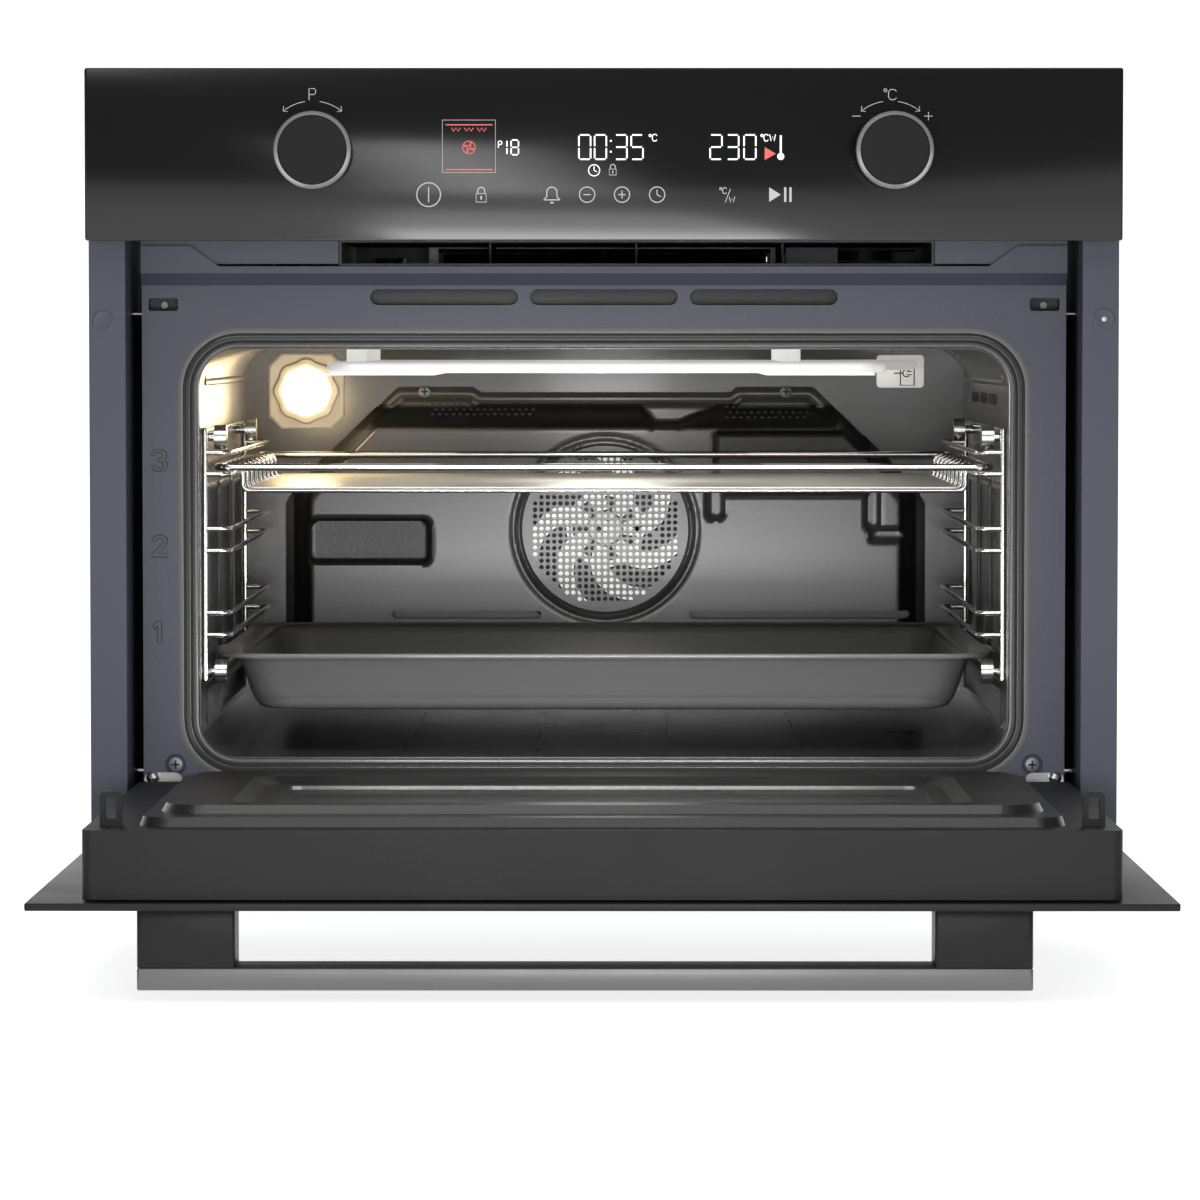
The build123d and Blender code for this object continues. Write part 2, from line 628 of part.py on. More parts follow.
def wire_rack():
    """Wire shelf with a sunken bed."""
    z = shelf_z
    x = rack_half - rack_rod / 2
    half = bent([(0, shelf_front, z), (x, shelf_front, z), (x, shelf_back, z), (0, shelf_back, z)],
                [9, 9], rack_rod / 2)
    frame = half + mirrored(half)
    low = z - bed_drop
    count = 9
    for step in range(count):
        y = shelf_front + 26 + step * (shelf_back - shelf_front - 52) / (count - 1)
        points = [(x, y, z), (bed_half, y, z), (bed_half, y, low),
                  (-bed_half, y, low), (-bed_half, y, z), (-x, y, z)]
        frame += bent(points, [4, 4, 4, 4], bed_wire_r)
    return frame


def baking_sheet():
    """Flat metal sheet that lies in the shelf's sunken bed."""
    low = shelf_z - bed_drop + bed_wire_r
    half = bed_half - 4.5
    plate = box(-half, half, shelf_front + 13, shelf_back - 10, low, low + sheet)
    return fillet(plate.edges().filter_by(Axis.Z), 3)


def tray_form(inset):
    """The deep tray's bowl, smaller by the inset."""
    length = shelf_back - shelf_front - 2 * (rack_half - tray_half)
    high = tray_lip + tray_rim
    draft = math.degrees(math.atan((tray_half - tray_bottom_half) / (high - tray_low)))
    shrink = 2 * (tray_half - tray_bottom_half)
    low = tray_low + inset
    base = RectangleRounded(2 * (tray_bottom_half - inset), length - shrink - 2 * inset, tray_corner - inset)
    place = Pos(0, (shelf_front + shelf_back) / 2, low)
    bowl = place * extrude(base, amount=high - low + (0.01 if inset else 0), taper=-draft)
    return fillet(bowl.faces().sort_by(Axis.Z)[0].edges(), tray_foot_round - inset)


def deep_tray():
    """Deep enamelled tray with a turned-down rim."""
    high = tray_lip + tray_rim
    middle = Pos(0, (shelf_front + shelf_back) / 2)
    length = shelf_back - shelf_front
    outline = middle * RectangleRounded(2 * rack_half, length, 14)
    inner = middle * RectangleRounded(2 * rack_half - 2, length - 2, 13)
    rim = Pos(0, 0, high - tray_wall) * extrude(outline, tray_wall)
    rim += Pos(0, 0, tray_lip) * extrude(outline - inner, tray_rim)
    return tray_form(0) + rim - tray_form(tray_wall)


# --- electronics compartment ---------------------------------------------------------------------
def compartment_plate():
    """Steel floor of the electronics compartment."""
    half = case_inner - thick_sheet
    low, high = plate_z - 1, floor_top + 1
    plate = box(-half, half, frame_back, case_depth - sheet, plate_z, floor_top)
    notch = box(frame_half - thick_sheet - 0.5, half + 1, 0, frame_y + frame_return + 0.5, low, high)
    holes = [rod((antenna_x, antenna_y, low), (antenna_x, antenna_y, high), antenna_hole_r)]
    holes += [box(x, x + 30, 452, 457, low, high) for x in (-60.0, -20.0, 20.0, 60.0)]
    return plate - holes - notch - mirrored(notch)


def magnetron():
    """Microwave tube with its cooling fins and antenna."""
    low = floor_top
    body = rod((antenna_x, antenna_y, low + 18), (antenna_x, antenna_y, low + 82), 19)
    base = box(antenna_x - 44, antenna_x + 44, antenna_y - 36, antenna_y + 36, low, low + 3)
    yoke = box(antenna_x - 44, antenna_x + 44, antenna_y - 36, antenna_y + 36, low + 79, low + 82)
    sides = [box(antenna_x + x - 1.5, antenna_x + x + 1.5, antenna_y - 36, antenna_y + 36, low, low + 82)
             for x in (-42.5, 42.5)]
    fins = [box(antenna_x - 42, antenna_x + 42, antenna_y - 32, antenna_y + 32, low + h, low + h + 1)
            for h in (26.0, 34.0, 42.0, 50.0, 58.0, 66.0)]
    antenna = rod((antenna_x, antenna_y, low + 20), (antenna_x, antenna_y, plate_z - 12), 8)
    return base + [yoke, body, antenna] + sides + fins


def inverter():
    """Inverter board with its transformer and heat sink."""
    low = floor_top + 8
    high = low + board_thick
    board = box(-40, 96, 345, 490, low, high)
    legs = [box(x - 3, x + 3, y - 3, y + 3, floor_top, low) for x in (-34.0, 90.0) for y in (351.0, 484.0)]
    transformer = box(-30, 30, 425, 480, high, low + 46)
    sink = [box(48, 90, y, y + 1.5, high, low + 40) for y in (360.0, 368.0, 376.0, 384.0, 392.0, 400.0)]
    return board + legs + [transformer] + sink


def power_board():
    """Relay board that switches the heaters and motors."""
    low = floor_top + 8
    high = low + board_thick
    board = box(-240, -70, 330, 480, low, high)
    legs = [box(x - 3, x + 3, y - 3, y + 3, floor_top, low) for x in (-234.0, -76.0) for y in (336.0, 474.0)]
    relays = [box(-228 + 30 * i, -208 + 30 * i, 350, 376, high, low + 17) for i in range(5)]
    caps = [rod((-210 + 34 * i, 440, high), (-210 + 34 * i, 440, low + 30), 10) for i in range(3)]
    return board + legs + relays + caps


def cable_gland():
    """Gland in the rear panel that the mains lead would pass through."""
    nut = rod((gland_x, case_depth, gland_z), (gland_x, case_depth + 7, gland_z), 13)
    body = rod((gland_x, case_depth - 14, gland_z), (gland_x, case_depth, gland_z), gland_hole_r - 0.2)
    bore = rod((gland_x, case_depth - 20, gland_z), (gland_x, case_depth + 10, gland_z), gland_bore_r)
    return nut + body - bore


def blower_housing():
    """Scroll box of the cooling blower."""
    half = blower_half + 8
    outside = box(-half, half, blower_front, blower_y + 36, floor_top, blower_z + 34)
    back = blower_y + 34.5
    inside = box(-half + 1.5, half - 1.5, blower_front + 1.5, back, floor_top + 1.5, blower_z + 32.5)
    mouth = box(-half + 6, half - 6, blower_front - 1, blower_front + 3, duct_low + 2, duct_high - 2)
    intake = box(-half + 6, half - 6, blower_y + 30, blower_y + 40, blower_z - 24, blower_z + 24)
    bore = rod((-half - 1, blower_y, blower_z), (half + 1, blower_y, blower_z), blower_shaft_r + 1)
    return outside - inside - mouth - intake - bore


def blower_rotor():
    """Long cross-flow rotor of the cooling blower on its shaft."""
    def at(x):
        return (x, blower_y, blower_z)
    rotor = rod(at(-blower_half - 4), at(blower_half + 40), blower_shaft_r)
    for x in (-blower_half, -0.75, blower_half - 1.5):
        rotor += rod(at(x), at(x + 1.5), blower_r)
    high = blower_z + blower_r
    blade = box(-blower_half, blower_half, blower_y - 0.5, blower_y + 0.5, high - 8, high - 0.5)
    blade = blade.rotate(Axis((0, blower_y, high - 4), (1, 0, 0)), 28)
    for step in range(16):
        rotor += blade.rotate(Axis((0, blower_y, blower_z), (1, 0, 0)), step * 22.5)
    return rotor


def blower_motor():
    """Shaded-pole motor of the cooling blower, on its foot."""
    start = blower_half + 12
    body = box(start, start + 32, blower_y - 22, blower_y + 22, blower_z - 22, blower_z + 22)
    foot = box(start, start + 32, blower_y - 10, blower_y + 10, floor_top, blower_z - 22)
    bore = rod((start - 1, blower_y, blower_z), (start + 31, blower_y, blower_z), blower_shaft_r + running)
    return body + foot - bore


def latch_block():
    """Interlock switch block behind a latch slot, with the bore of its plunger."""
    block = box(slot_x - 11, slot_x + 11, frame_back, latch_back, floor_top, slot_z + 12)
    low = max(slot_z - slot_height / 2 - 0.6, floor_top - 1)
    pocket = box(slot_x - slot_width / 2, slot_x + slot_width / 2, frame_back - 1, hook_tip + 4,
                 low, slot_z + slot_height / 2 + 0.6)
    z = slot_z - plunger_drop
    bore = rod((slot_x, hook_tip, z), (slot_x, latch_back - 8, z), plunger_r + running)
    return block - pocket - bore


def latch_plunger():
    """Plunger that the door's hook pushes in."""
    start = hook_tip + 0.5
    end = latch_back - 8 - plunger_stroke - 0.4
    z = slot_z - plunger_drop
    return rod((slot_x, start, z), (slot_x, end, z), plunger_r)


# --- hinges --------------------------------------------------------------------------------------
def hinge_bracket():
    """Steel arm fixed to the carcass that carries the door's pivot pin."""
    inner = door_half + hinge_arm_gap
    outer = inner + hinge_arm_thick
    low, high = pivot_z - hinge_arm_r, pivot_z + hinge_arm_r
    arm = rail(Pos(pivot_y, pivot_z) * Circle(hinge_arm_r), inner, outer)
    arm += box(inner, outer, pivot_y, 64, low, high)
    foot = box(inner, case_inner - thick_sheet, 36, 62, low, high)
    pin = rod((door_half - 11, pivot_y, pivot_z), (outer, pivot_y, pivot_z), hinge_pin_r)
    return arm + foot + pin


def hinge_cover():
    """Bright plate with a domed rivet beside the frame's lower corner."""
    plate = slab(rounded(247.0, frame_half - 0.5, 34.0, 42.2, 4.0), frame_y - 2, frame_y)
    radius = 3.6
    return plate + Pos(263.7, frame_y - radius, 39.6) * Sphere(radius)


def hinge_block():
    """Hinge body inside the door's side, with the bore for the pivot pin."""
    outer = door_half - door_wall
    wall = 2.95  # round the pin
    block = box(outer - block_width, outer, pivot_y - wall, door_back - 3, pivot_z - wall, block_height)
    edge = block.edges().filter_by(Axis.Y).sort_by(Axis.Z)[:2].sort_by(Axis.X)[-1]
    block = fillet(edge, block_round)
    channel = box(outer - block_width - 1, outer - 1.5, -8, 12, spring_low, spring_high)
    bore = rod((door_half - 12, pivot_y, pivot_z), (door_half + 1, pivot_y, pivot_z), hinge_pin_r + running)
    return opened(block - channel - bore)


def hinge_spring():
    """Coil spring of the hinge, drawn as its outer form."""
    x = door_half - 7
    coil = rod((x, 2, spring_low), (x, 2, spring_high), spring_r)
    return opened(coil - rod((x, 2, spring_low - 1), (x, 2, spring_high + 1), spring_r - 1.2))


# --- door ----------------------------------------------------------------------------------------
def door_glass():
    """Full-width outer glass of the door."""
    outline = rounded(-front_width / 2, front_width / 2, front_bottom, glass_top, 1.5)
    return opened(slab(outline, glass_face, glass_inside))


def door_body():
    """Folded steel tray behind the glass."""
    outside = slab(rounded(-door_half, door_half, door_low, door_top, 5), door_front, door_back)
    wall = door_wall
    inside = slab(rounded(-door_half + wall, door_half - wall, door_low + wall, door_top - wall, 4),
                  door_front + wall, door_back - wall)
    body = outside - inside
    opening = rounded(-pad_half + 6, pad_half - 6, pad_low + 6, pad_high - 6, 14)
    body -= slab(opening, door_back - 3, door_back + 1)
    body -= slab(rounded(-window_half, window_half, window_low - 8, window_high + 8, 10), door_front - 1, 0)
    pin = rod((door_half - 7, pivot_y, pivot_z), (door_half + 1, pivot_y, pivot_z), hinge_pin_r + 0.9)
    return opened(body - pin - mirrored(pin))


def door_plane(y):
    """Plane of the shut door at depth y, facing the cavity."""
    return Plane(origin=(0, y, 0), x_dir=(-1, 0, 0), z_dir=(0, 1, 0))


def raised(half, low, high, corner, y0, y1, draft):
    """A block with drafted sides that rises towards the cavity."""
    return extrude(door_plane(y0) * rounded(-half, half, low, high, corner), amount=y1 - y0, taper=draft)


def panel_form(inset):
    """The raised inner panel as a solid, smaller by the inset."""
    pad_y = door_back + pad_rise - inset
    top_y = door_back + plug_rise - inset
    draft = math.degrees(math.atan(plug_draft / (plug_rise - pad_rise)))
    pad = raised(pad_half - inset, pad_low + inset, pad_high - inset, 16, door_back, pad_y, 20)
    plug = raised(plug_half - inset, plug_low + inset, plug_high - inset, 24, pad_y - 0.5, top_y, draft)
    return pad + plug


def window(inset):
    """The window's outline in the inner panel, smaller by the inset."""
    return rounded(-window_half + inset, window_half - inset, window_low + inset, window_high - inset, 10)


def window_recess(inset):
    """The bevelled recess round the window."""
    top = door_back + plug_rise
    return loft([door_plane(top) * window(inset), door_plane(top - ledge_drop) * window(ledge_inset + inset)],
                ruled=True)


def door_inner_panel():
    """Enamelled plug that faces the cavity, with the bevelled window opening."""
    ledge_y = door_back + plug_rise - ledge_drop
    panel = panel_form(0) - panel_form(door_wall)
    panel -= slab(window(0), door_back, door_back + plug_rise + 1)
    bevel = window_recess(-door_wall) - window_recess(0)
    ledge = slab(window(ledge_inset - door_wall) - window(sight_inset), ledge_y - door_wall, ledge_y)
    return opened(panel + bevel + ledge)


def pane(inset, y0, y1):
    """A rectangular pane behind the window."""
    outline = rounded(-window_half + inset, window_half - inset, window_low + inset, window_high - inset, 4)
    return opened(slab(outline, y0, y1))


def inner_glass():
    """Heat-resistant pane behind the ledge."""
    return pane(pane_inset, ledge_back - glass, ledge_back)


def microwave_screen():
    """Fine metal screen behind the inner pane."""
    return pane(pane_inset, ledge_back - glass - 0.6, ledge_back - glass)


def middle_glass():
    """Second pane, on the door body's front sheet."""
    start = door_front + door_wall
    return pane(-middle_glass_lap, start, start + glass)


def latch_hook():
    """Looped hook on the door that enters the latch slot."""
    half = hook_half
    x = slot_x + hook_shift
    low = slot_z - hook_thick / 2 - 0.6
    plane = Plane(origin=(0, 0, low), x_dir=(1, 0, 0), z_dir=(0, 0, 1))
    middle = (door_back + hook_tip) / 2
    outline = Pos(x, middle) * RectangleRounded(2 * half, hook_tip - door_back, 3.0)
    outline += Pos(x, door_back + 2) * Rectangle(2 * half, 4)
    outline -= Pos(x, middle + 0.6) * RectangleRounded(5.6, 11.0, 1.2)
    return opened(extrude(plane * outline, amount=hook_thick))


def handle_bar():
    """Flat metal grip."""
    back = glass_face - handle_gap
    high = glass_top - handle_drop
    x0 = handle_shift - handle_length / 2
    bar = box(x0, x0 + handle_length, back - handle_thick, back, high - handle_height, high)
    return opened(fillet(bar.edges().filter_by(Axis.X), 0.8))


def handle_posts():
    """The two stand-offs between the grip and the glass."""
    high = glass_top - handle_drop
    x0 = handle_shift - handle_length / 2
    x1 = handle_shift + handle_length / 2 - post_width
    return [opened(box(x, x + post_width, glass_face - handle_gap, glass_face, high - post_height, high))
            for x in (x0, x1)]


def both(shape):
    """A right piece and its mirror image, as one node's two solids."""
    return shape, mirrored(shape)


save("base_pan", base_pan())
save("outer_casing", outer_casing())
save("rear_panel", rear_panel())
save("side_flanges", *both(side_flange()))
save("casing_screws", *casing_screws())
save("front_frame", front_frame())
save("front_screws", *frame_screws(), *baffle_screws())
save("panel_glass", panel_glass())
save("panel_housing", panel_housing())
save("panel_bracket", panel_bracket())
save("air_outlet_duct", air_outlet_duct())
save("display_module", display_module())
save("touch_board", touch_board())
save("encoders", *both(encoder()))
pair("knob", knob())
save("opening_frame", opening_frame())
save("cavity_liner", cavity_liner())
save("insulation", insulation())
save("cavity_baffle", cavity_baffle())
save("fan_grille", fan_grille())
save("fan_impeller", fan_impeller())
save("fan_motor", fan_motor())
save("ring_element", ring_element())
save("grill_element", grill_element())
save("element_brackets", *element_brackets())
save("anchor_plate", anchor_plate())
save("lamp_plate", lamp_plate())
save("lamp_glass", lamp_glass())
save("lamp_socket", lamp_socket())
save("waveguide", waveguide())
save("side_racks", *both(side_rack()))
right_bushes = rack_bushes()
save("rack_bushes", *right_bushes, *[mirrored(bush) for bush in right_bushes])
save("wire_rack", wire_rack())
save("baking_sheet", baking_sheet())
save("deep_tray", deep_tray())
save("compartment_plate", compartment_plate())
save("magnetron", magnetron())
save("inverter", inverter())
save("power_board", power_board())
save("cable_gland", cable_gland())
save("blower_housing", blower_housing())
save("blower_rotor", blower_rotor())
save("blower_motor", blower_motor())
save("latch_blocks", *both(latch_block()))
pair("latch_plunger", latch_plunger())
save("hinge_brackets", *both(hinge_bracket()))
save("hinge_covers", *both(hinge_cover()))
save("hinge_blocks", *both(hinge_block()))
save("hinge_springs", *both(hinge_spring()))
save("latch_hooks", *both(latch_hook()))
save("door_glass", door_glass())
save("door_body", door_body())
save("door_inner_panel", door_inner_panel())
save("inner_glass", inner_glass())
save("microwave_screen", microwave_screen())
save("middle_glass", middle_glass())
save("handle_bar", handle_bar())
save("handle_posts", *handle_posts())
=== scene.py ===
# %% [markdown]
# # A built-in oven with its door down
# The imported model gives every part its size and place. This lesson keeps the plain sheet-metal parts as
# they are, gives each of them a finish, and rebuilds the parts that a cook looks at: the glass panel and
# its lit signs, the knobs, the ringed mouth, the screws, the lamp, the fan with its cover and grille, the
# tray, and the door's glass and handle. The wire runners, the shelf, the heaters and the door's inner face
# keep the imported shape.

# %% Load the frame
import math

import bpy
import bmesh
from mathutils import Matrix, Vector


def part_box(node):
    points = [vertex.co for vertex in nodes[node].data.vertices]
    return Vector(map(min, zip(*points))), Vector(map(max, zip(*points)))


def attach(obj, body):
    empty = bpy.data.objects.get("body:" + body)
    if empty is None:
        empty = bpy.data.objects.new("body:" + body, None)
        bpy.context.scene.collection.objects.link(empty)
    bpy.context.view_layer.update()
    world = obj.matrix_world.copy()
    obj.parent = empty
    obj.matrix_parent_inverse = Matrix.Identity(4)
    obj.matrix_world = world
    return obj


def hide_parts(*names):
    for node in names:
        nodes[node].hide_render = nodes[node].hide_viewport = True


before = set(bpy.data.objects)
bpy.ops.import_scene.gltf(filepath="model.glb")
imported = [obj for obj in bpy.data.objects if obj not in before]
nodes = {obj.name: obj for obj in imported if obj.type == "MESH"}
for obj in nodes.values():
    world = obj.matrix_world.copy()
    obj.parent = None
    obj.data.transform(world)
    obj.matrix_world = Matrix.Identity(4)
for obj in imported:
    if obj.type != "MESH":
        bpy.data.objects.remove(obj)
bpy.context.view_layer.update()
scene = bpy.context.scene

# %% [markdown]
# ## Camera
# A long lens far in front keeps the panel's edges nearly parallel, and a small tilt downwards shows the
# inner face of the door as a narrow band. Distances are in metres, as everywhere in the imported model.

# %% Camera
LENS, SENSOR = 159.3, 36.0
CAMERA_AT = (0.0071, -3.072, 0.2952)
TILT_DOWN, TURN_LEFT = 2.803, 0.173

lens = bpy.data.cameras.new("camera")
lens.lens = LENS
lens.sensor_width = SENSOR
lens.clip_start = 0.05
lens.clip_end = 60
camera = bpy.data.objects.new("camera", lens)
camera.location = CAMERA_AT
camera.rotation_euler = (math.radians(90 - TILT_DOWN), 0, math.radians(TURN_LEFT))
scene.collection.objects.link(camera)
scene.camera = camera
print("camera", camera.location[:])

# %% [markdown]
# ## Shared shader groups
# Real coats are never even. Three small groups supply what most finishes need: a colour that drifts
# between two tones, a roughness with smears in it, and the height of a fine grain. Each material places
# them with its own numbers, and a Bump node turns the height into a normal.

# %% Shader groups
def new_group(name, inputs, output, output_type):
    """A shader group with number and colour inputs and one output."""
    group = bpy.data.node_groups.new(name, "ShaderNodeTree")
    for label, kind, value in inputs:
        socket = group.interface.new_socket(label, in_out="INPUT", socket_type=kind)
        socket.default_value = value
    group.interface.new_socket(output, in_out="OUTPUT", socket_type=output_type)
    return group, group.nodes.new("NodeGroupInput"), group.nodes.new("NodeGroupOutput")


def noise_in(group, source, scale_name, detail):
    """A noise texture on object coordinates, scaled by one of the group's inputs."""
    place = group.nodes.new("ShaderNodeTexCoord")
    noise = group.nodes.new("ShaderNodeTexNoise")
    noise.inputs["Detail"].default_value = detail
    group.links.new(place.outputs["Object"], noise.inputs["Vector"])
    group.links.new(source.outputs[scale_name], noise.inputs["Scale"])
    return noise


NUMBER, COLOUR = "NodeSocketFloat", "NodeSocketColor"
GREY = (0.5, 0.5, 0.5, 1)

tone_drift, inside, out = new_group(
    "tone_drift", [("Tone", COLOUR, GREY), ("Second tone", COLOUR, GREY), ("Scale", NUMBER, 6.0)], "Color",
    COLOUR)
noise = noise_in(tone_drift, inside, "Scale", 5.0)
mix = tone_drift.nodes.new("ShaderNodeMix")
mix.data_type = "RGBA"
tone_drift.links.new(noise.outputs["Fac"], mix.inputs["Factor"])
tone_drift.links.new(inside.outputs["Tone"], mix.inputs["A"])
tone_drift.links.new(inside.outputs["Second tone"], mix.inputs["B"])
tone_drift.links.new(mix.outputs["Result"], out.inputs["Color"])

smears, inside, out = new_group(
    "smears", [("Smooth", NUMBER, 0.2), ("Rough", NUMBER, 0.4), ("Scale", NUMBER, 9.0)], "Roughness", NUMBER)
noise = noise_in(smears, inside, "Scale", 7.0)
spread = smears.nodes.new("ShaderNodeMapRange")
smears.links.new(noise.outputs["Fac"], spread.inputs["Value"])
spread.inputs["From Min"].default_value = 0.3
spread.inputs["From Max"].default_value = 0.7
smears.links.new(inside.outputs["Smooth"], spread.inputs["To Min"])
smears.links.new(inside.outputs["Rough"], spread.inputs["To Max"])
smears.links.new(spread.outputs["Result"], out.inputs["Roughness"])

grain, inside, out = new_group(
    "grain", [("Scale", NUMBER, 900.0), ("Stretch X", NUMBER, 1.0), ("Stretch Z", NUMBER, 1.0)], "Height",
    NUMBER)
noise = noise_in(grain, inside, "Scale", 2.0)
place = next(n for n in grain.nodes if n.type == "TEX_COORD")
stretch = grain.nodes.new("ShaderNodeCombineXYZ")
stretch.inputs["Y"].default_value = 1.0
grain.links.new(inside.outputs["Stretch X"], stretch.inputs["X"])
grain.links.new(inside.outputs["Stretch Z"], stretch.inputs["Z"])
scaled = grain.nodes.new("ShaderNodeVectorMath")
scaled.operation = "MULTIPLY"
grain.links.new(place.outputs["Object"], scaled.inputs[0])
grain.links.new(stretch.outputs["Vector"], scaled.inputs[1])
grain.links.new(scaled.outputs["Vector"], noise.inputs["Vector"])
grain.links.new(noise.outputs["Fac"], out.inputs["Height"])
print("groups:", [g.name for g in bpy.data.node_groups])

# %% [markdown]
# ## Finishes
# One recipe makes every finish. It takes two close tones, the smoothest and roughest patches, how
# metallic the surface is, and the grain's scale, direction and depth. Numbers that are the same all over
# a surface sit on the shader itself.


def finish(name, tone, second, smooth, rough, metallic=0.0, drift=6.0, smear=9.0,
           grain_scale=900.0, stretch_x=1.0, stretch_z=1.0, depth=0.02, settings=()):
    """A material built from the three shared groups."""
    material = bpy.data.materials.new(name)
    material.use_nodes = True
    tree = material.node_tree
    shader = tree.nodes["Principled BSDF"]
    colour = tree.nodes.new("ShaderNodeGroup")
    colour.node_tree = tone_drift
    colour.inputs["Tone"].default_value = (*tone, 1)
    colour.inputs["Second tone"].default_value = (*second, 1)
    colour.inputs["Scale"].default_value = drift
    tree.links.new(colour.outputs["Color"], shader.inputs["Base Color"])
    patches = tree.nodes.new("ShaderNodeGroup")
    patches.node_tree = smears
    patches.inputs["Smooth"].default_value = smooth
    patches.inputs["Rough"].default_value = rough
    patches.inputs["Scale"].default_value = smear
    tree.links.new(patches.outputs["Roughness"], shader.inputs["Roughness"])
    surface = tree.nodes.new("ShaderNodeGroup")
    surface.node_tree = grain
    surface.inputs["Scale"].default_value = grain_scale
    surface.inputs["Stretch X"].default_value = stretch_x
    surface.inputs["Stretch Z"].default_value = stretch_z
    bump = tree.nodes.new("ShaderNodeBump")
    bump.inputs["Strength"].default_value = depth
    bump.inputs["Distance"].default_value = 0.001
    tree.links.new(surface.outputs["Height"], bump.inputs["Height"])
    tree.links.new(bump.outputs["Normal"], shader.inputs["Normal"])
    shader.inputs["Metallic"].default_value = metallic
    for socket, value in settings:
        shader.inputs[socket].default_value = value
        if socket == "Emission Strength":
            shader.inputs["Emission Color"].default_value = (*tone, 1)
    return material


# %% Finishes of the front
black_glass = finish("black_glass", (0.0035, 0.0035, 0.004), (0.005, 0.005, 0.005), 0.125,
                     0.135, depth=0.0)
grey_enamel = finish("grey_enamel", (0.033, 0.036, 0.056), (0.039, 0.042, 0.064), 0.38, 0.46,
                     grain_scale=1400, depth=0.10)
# Painted shade: the frame's enamel made darker for the sunk screw dimples.
dimple_painted_shade = finish("dimple_painted_shade", (0.012, 0.016, 0.036), (0.016, 0.02, 0.042), 0.4, 0.5,
                   grain_scale=1400, depth=0.08)
knob_face = finish("knob_face", (0.008, 0.008, 0.008), (0.012, 0.012, 0.012), 0.28, 0.36,
                   grain_scale=1600, depth=0.06, settings=[("Specular IOR Level", 0.12)])
knob_bevel = finish("knob_bevel", (0.34, 0.34, 0.34), (0.42, 0.42, 0.42), 0.24, 0.32, 0.55,
                    grain_scale=1600, depth=0.05)
handle_metal = finish("handle_metal", (0.12, 0.12, 0.123), (0.15, 0.15, 0.15), 0.36, 0.46,
                      0.7, grain_scale=220, stretch_x=0.05, stretch_z=6, depth=0.05)
handle_black = finish("handle_black", (0.008, 0.008, 0.009), (0.012, 0.012, 0.012), 0.35,
                      0.45, grain_scale=1500, depth=0.08, settings=[("Specular IOR Level", 0.2)])
black_plastic = finish("black_plastic", (0.012, 0.012, 0.013), (0.018, 0.018, 0.019), 0.42,
                       0.55, grain_scale=1100, depth=0.25)
door_black = finish("door_black", (0.008, 0.008, 0.008), (0.011, 0.0108, 0.0105), 0.28, 0.38,
                    grain_scale=700, depth=0.08, settings=[("Coat Weight", 0.12), ("Coat Roughness", 0.2)])
door_matt = finish("door_matt", (0.010, 0.010, 0.010), (0.014, 0.014, 0.0135), 0.42, 0.52,
                   grain_scale=900, depth=0.12, settings=[("Specular IOR Level", 0.2)])
display_dark = finish("display_dark", (0.01, 0.01, 0.011), (0.014, 0.014, 0.015), 0.2, 0.3)

# %% Finishes of the chamber
cavity_enamel = finish("cavity_enamel", (0.048, 0.048, 0.048), (0.053, 0.053, 0.053), 0.27,
                       0.29, grain_scale=420, depth=0.05,
                       settings=[("Coat Weight", 0.2), ("Coat Roughness", 0.15)])
olive_band = finish("olive_band", (0.085, 0.086, 0.078), (0.10, 0.10, 0.092), 0.35, 0.45,
                    depth=0.05)
ring_band = finish("ring_band", (0.040, 0.040, 0.040), (0.052, 0.052, 0.05), 0.2, 0.3, 0.2,
                   depth=0.04)
# Near black: the real colour of print and of the ring's grooves, and painted shade where it stands for holes,
# slots, screw crosses, the groove round the grille and the level numbers' shadows.
black_print_and_painted_shade = finish("black_print_and_painted_shade", (0.004, 0.004, 0.004), (0.006, 0.006, 0.006), 0.5, 0.6)
tray_enamel = finish("tray_enamel", (0.120, 0.120, 0.119), (0.132, 0.132, 0.131), 0.29, 0.32,
                     grain_scale=600, depth=0.04, settings=[("Coat Weight", 0.3), ("Coat Roughness", 0.16)])
chrome_wire = finish("chrome_wire", (0.62, 0.61, 0.59), (0.72, 0.71, 0.69), 0.10, 0.18, 1.0,
                     grain_scale=900, depth=0.02)
bright_steel = finish("bright_steel", (0.66, 0.66, 0.65), (0.76, 0.76, 0.75), 0.16, 0.26, 1.0,
                      grain_scale=1500, depth=0.04)
stainless = finish("stainless", (0.40, 0.40, 0.40), (0.48, 0.48, 0.47), 0.24, 0.36, 1.0,
                   grain_scale=500, stretch_x=0.1, depth=0.06)
# The heater tube glows: painted light, as the element is no lamp.
heater_tube = finish("heater_tube", (0.80, 0.79, 0.76), (0.90, 0.89, 0.87), 0.3, 0.42, 0.15,
                     drift=40, grain_scale=1200, depth=0.05, settings=[("Emission Strength", 0.42)])
pale_sheet = finish("pale_sheet", (0.56, 0.555, 0.50), (0.64, 0.63, 0.57), 0.36, 0.50, 0.25,
                    drift=5, smear=5, grain_scale=300, depth=0.03)
# The ceramic glows a little: painted light that brightens the socket plate.
ceramic = finish("ceramic", (0.78, 0.77, 0.75), (0.86, 0.85, 0.83), 0.25, 0.4, drift=60,
                 depth=0.03, settings=[("Emission Strength", 0.35)])
lamp_enamel = finish("lamp_enamel", (0.36, 0.355, 0.34), (0.42, 0.41, 0.40), 0.3, 0.42, drift=60,
                     depth=0.03)
# The fan wheel glows: painted light that makes it show bright behind the grille.
fan_steel_painted_glow = finish("fan_steel_painted_glow", (0.80, 0.80, 0.79), (0.88, 0.88, 0.86), 0.3, 0.45, 0.2,
                   depth=0.04, settings=[("Emission Strength", 0.55)])
fan_plate = finish("fan_plate", (0.05, 0.05, 0.05), (0.07, 0.07, 0.07), 0.3, 0.45, 0.6,
                   depth=0.04)
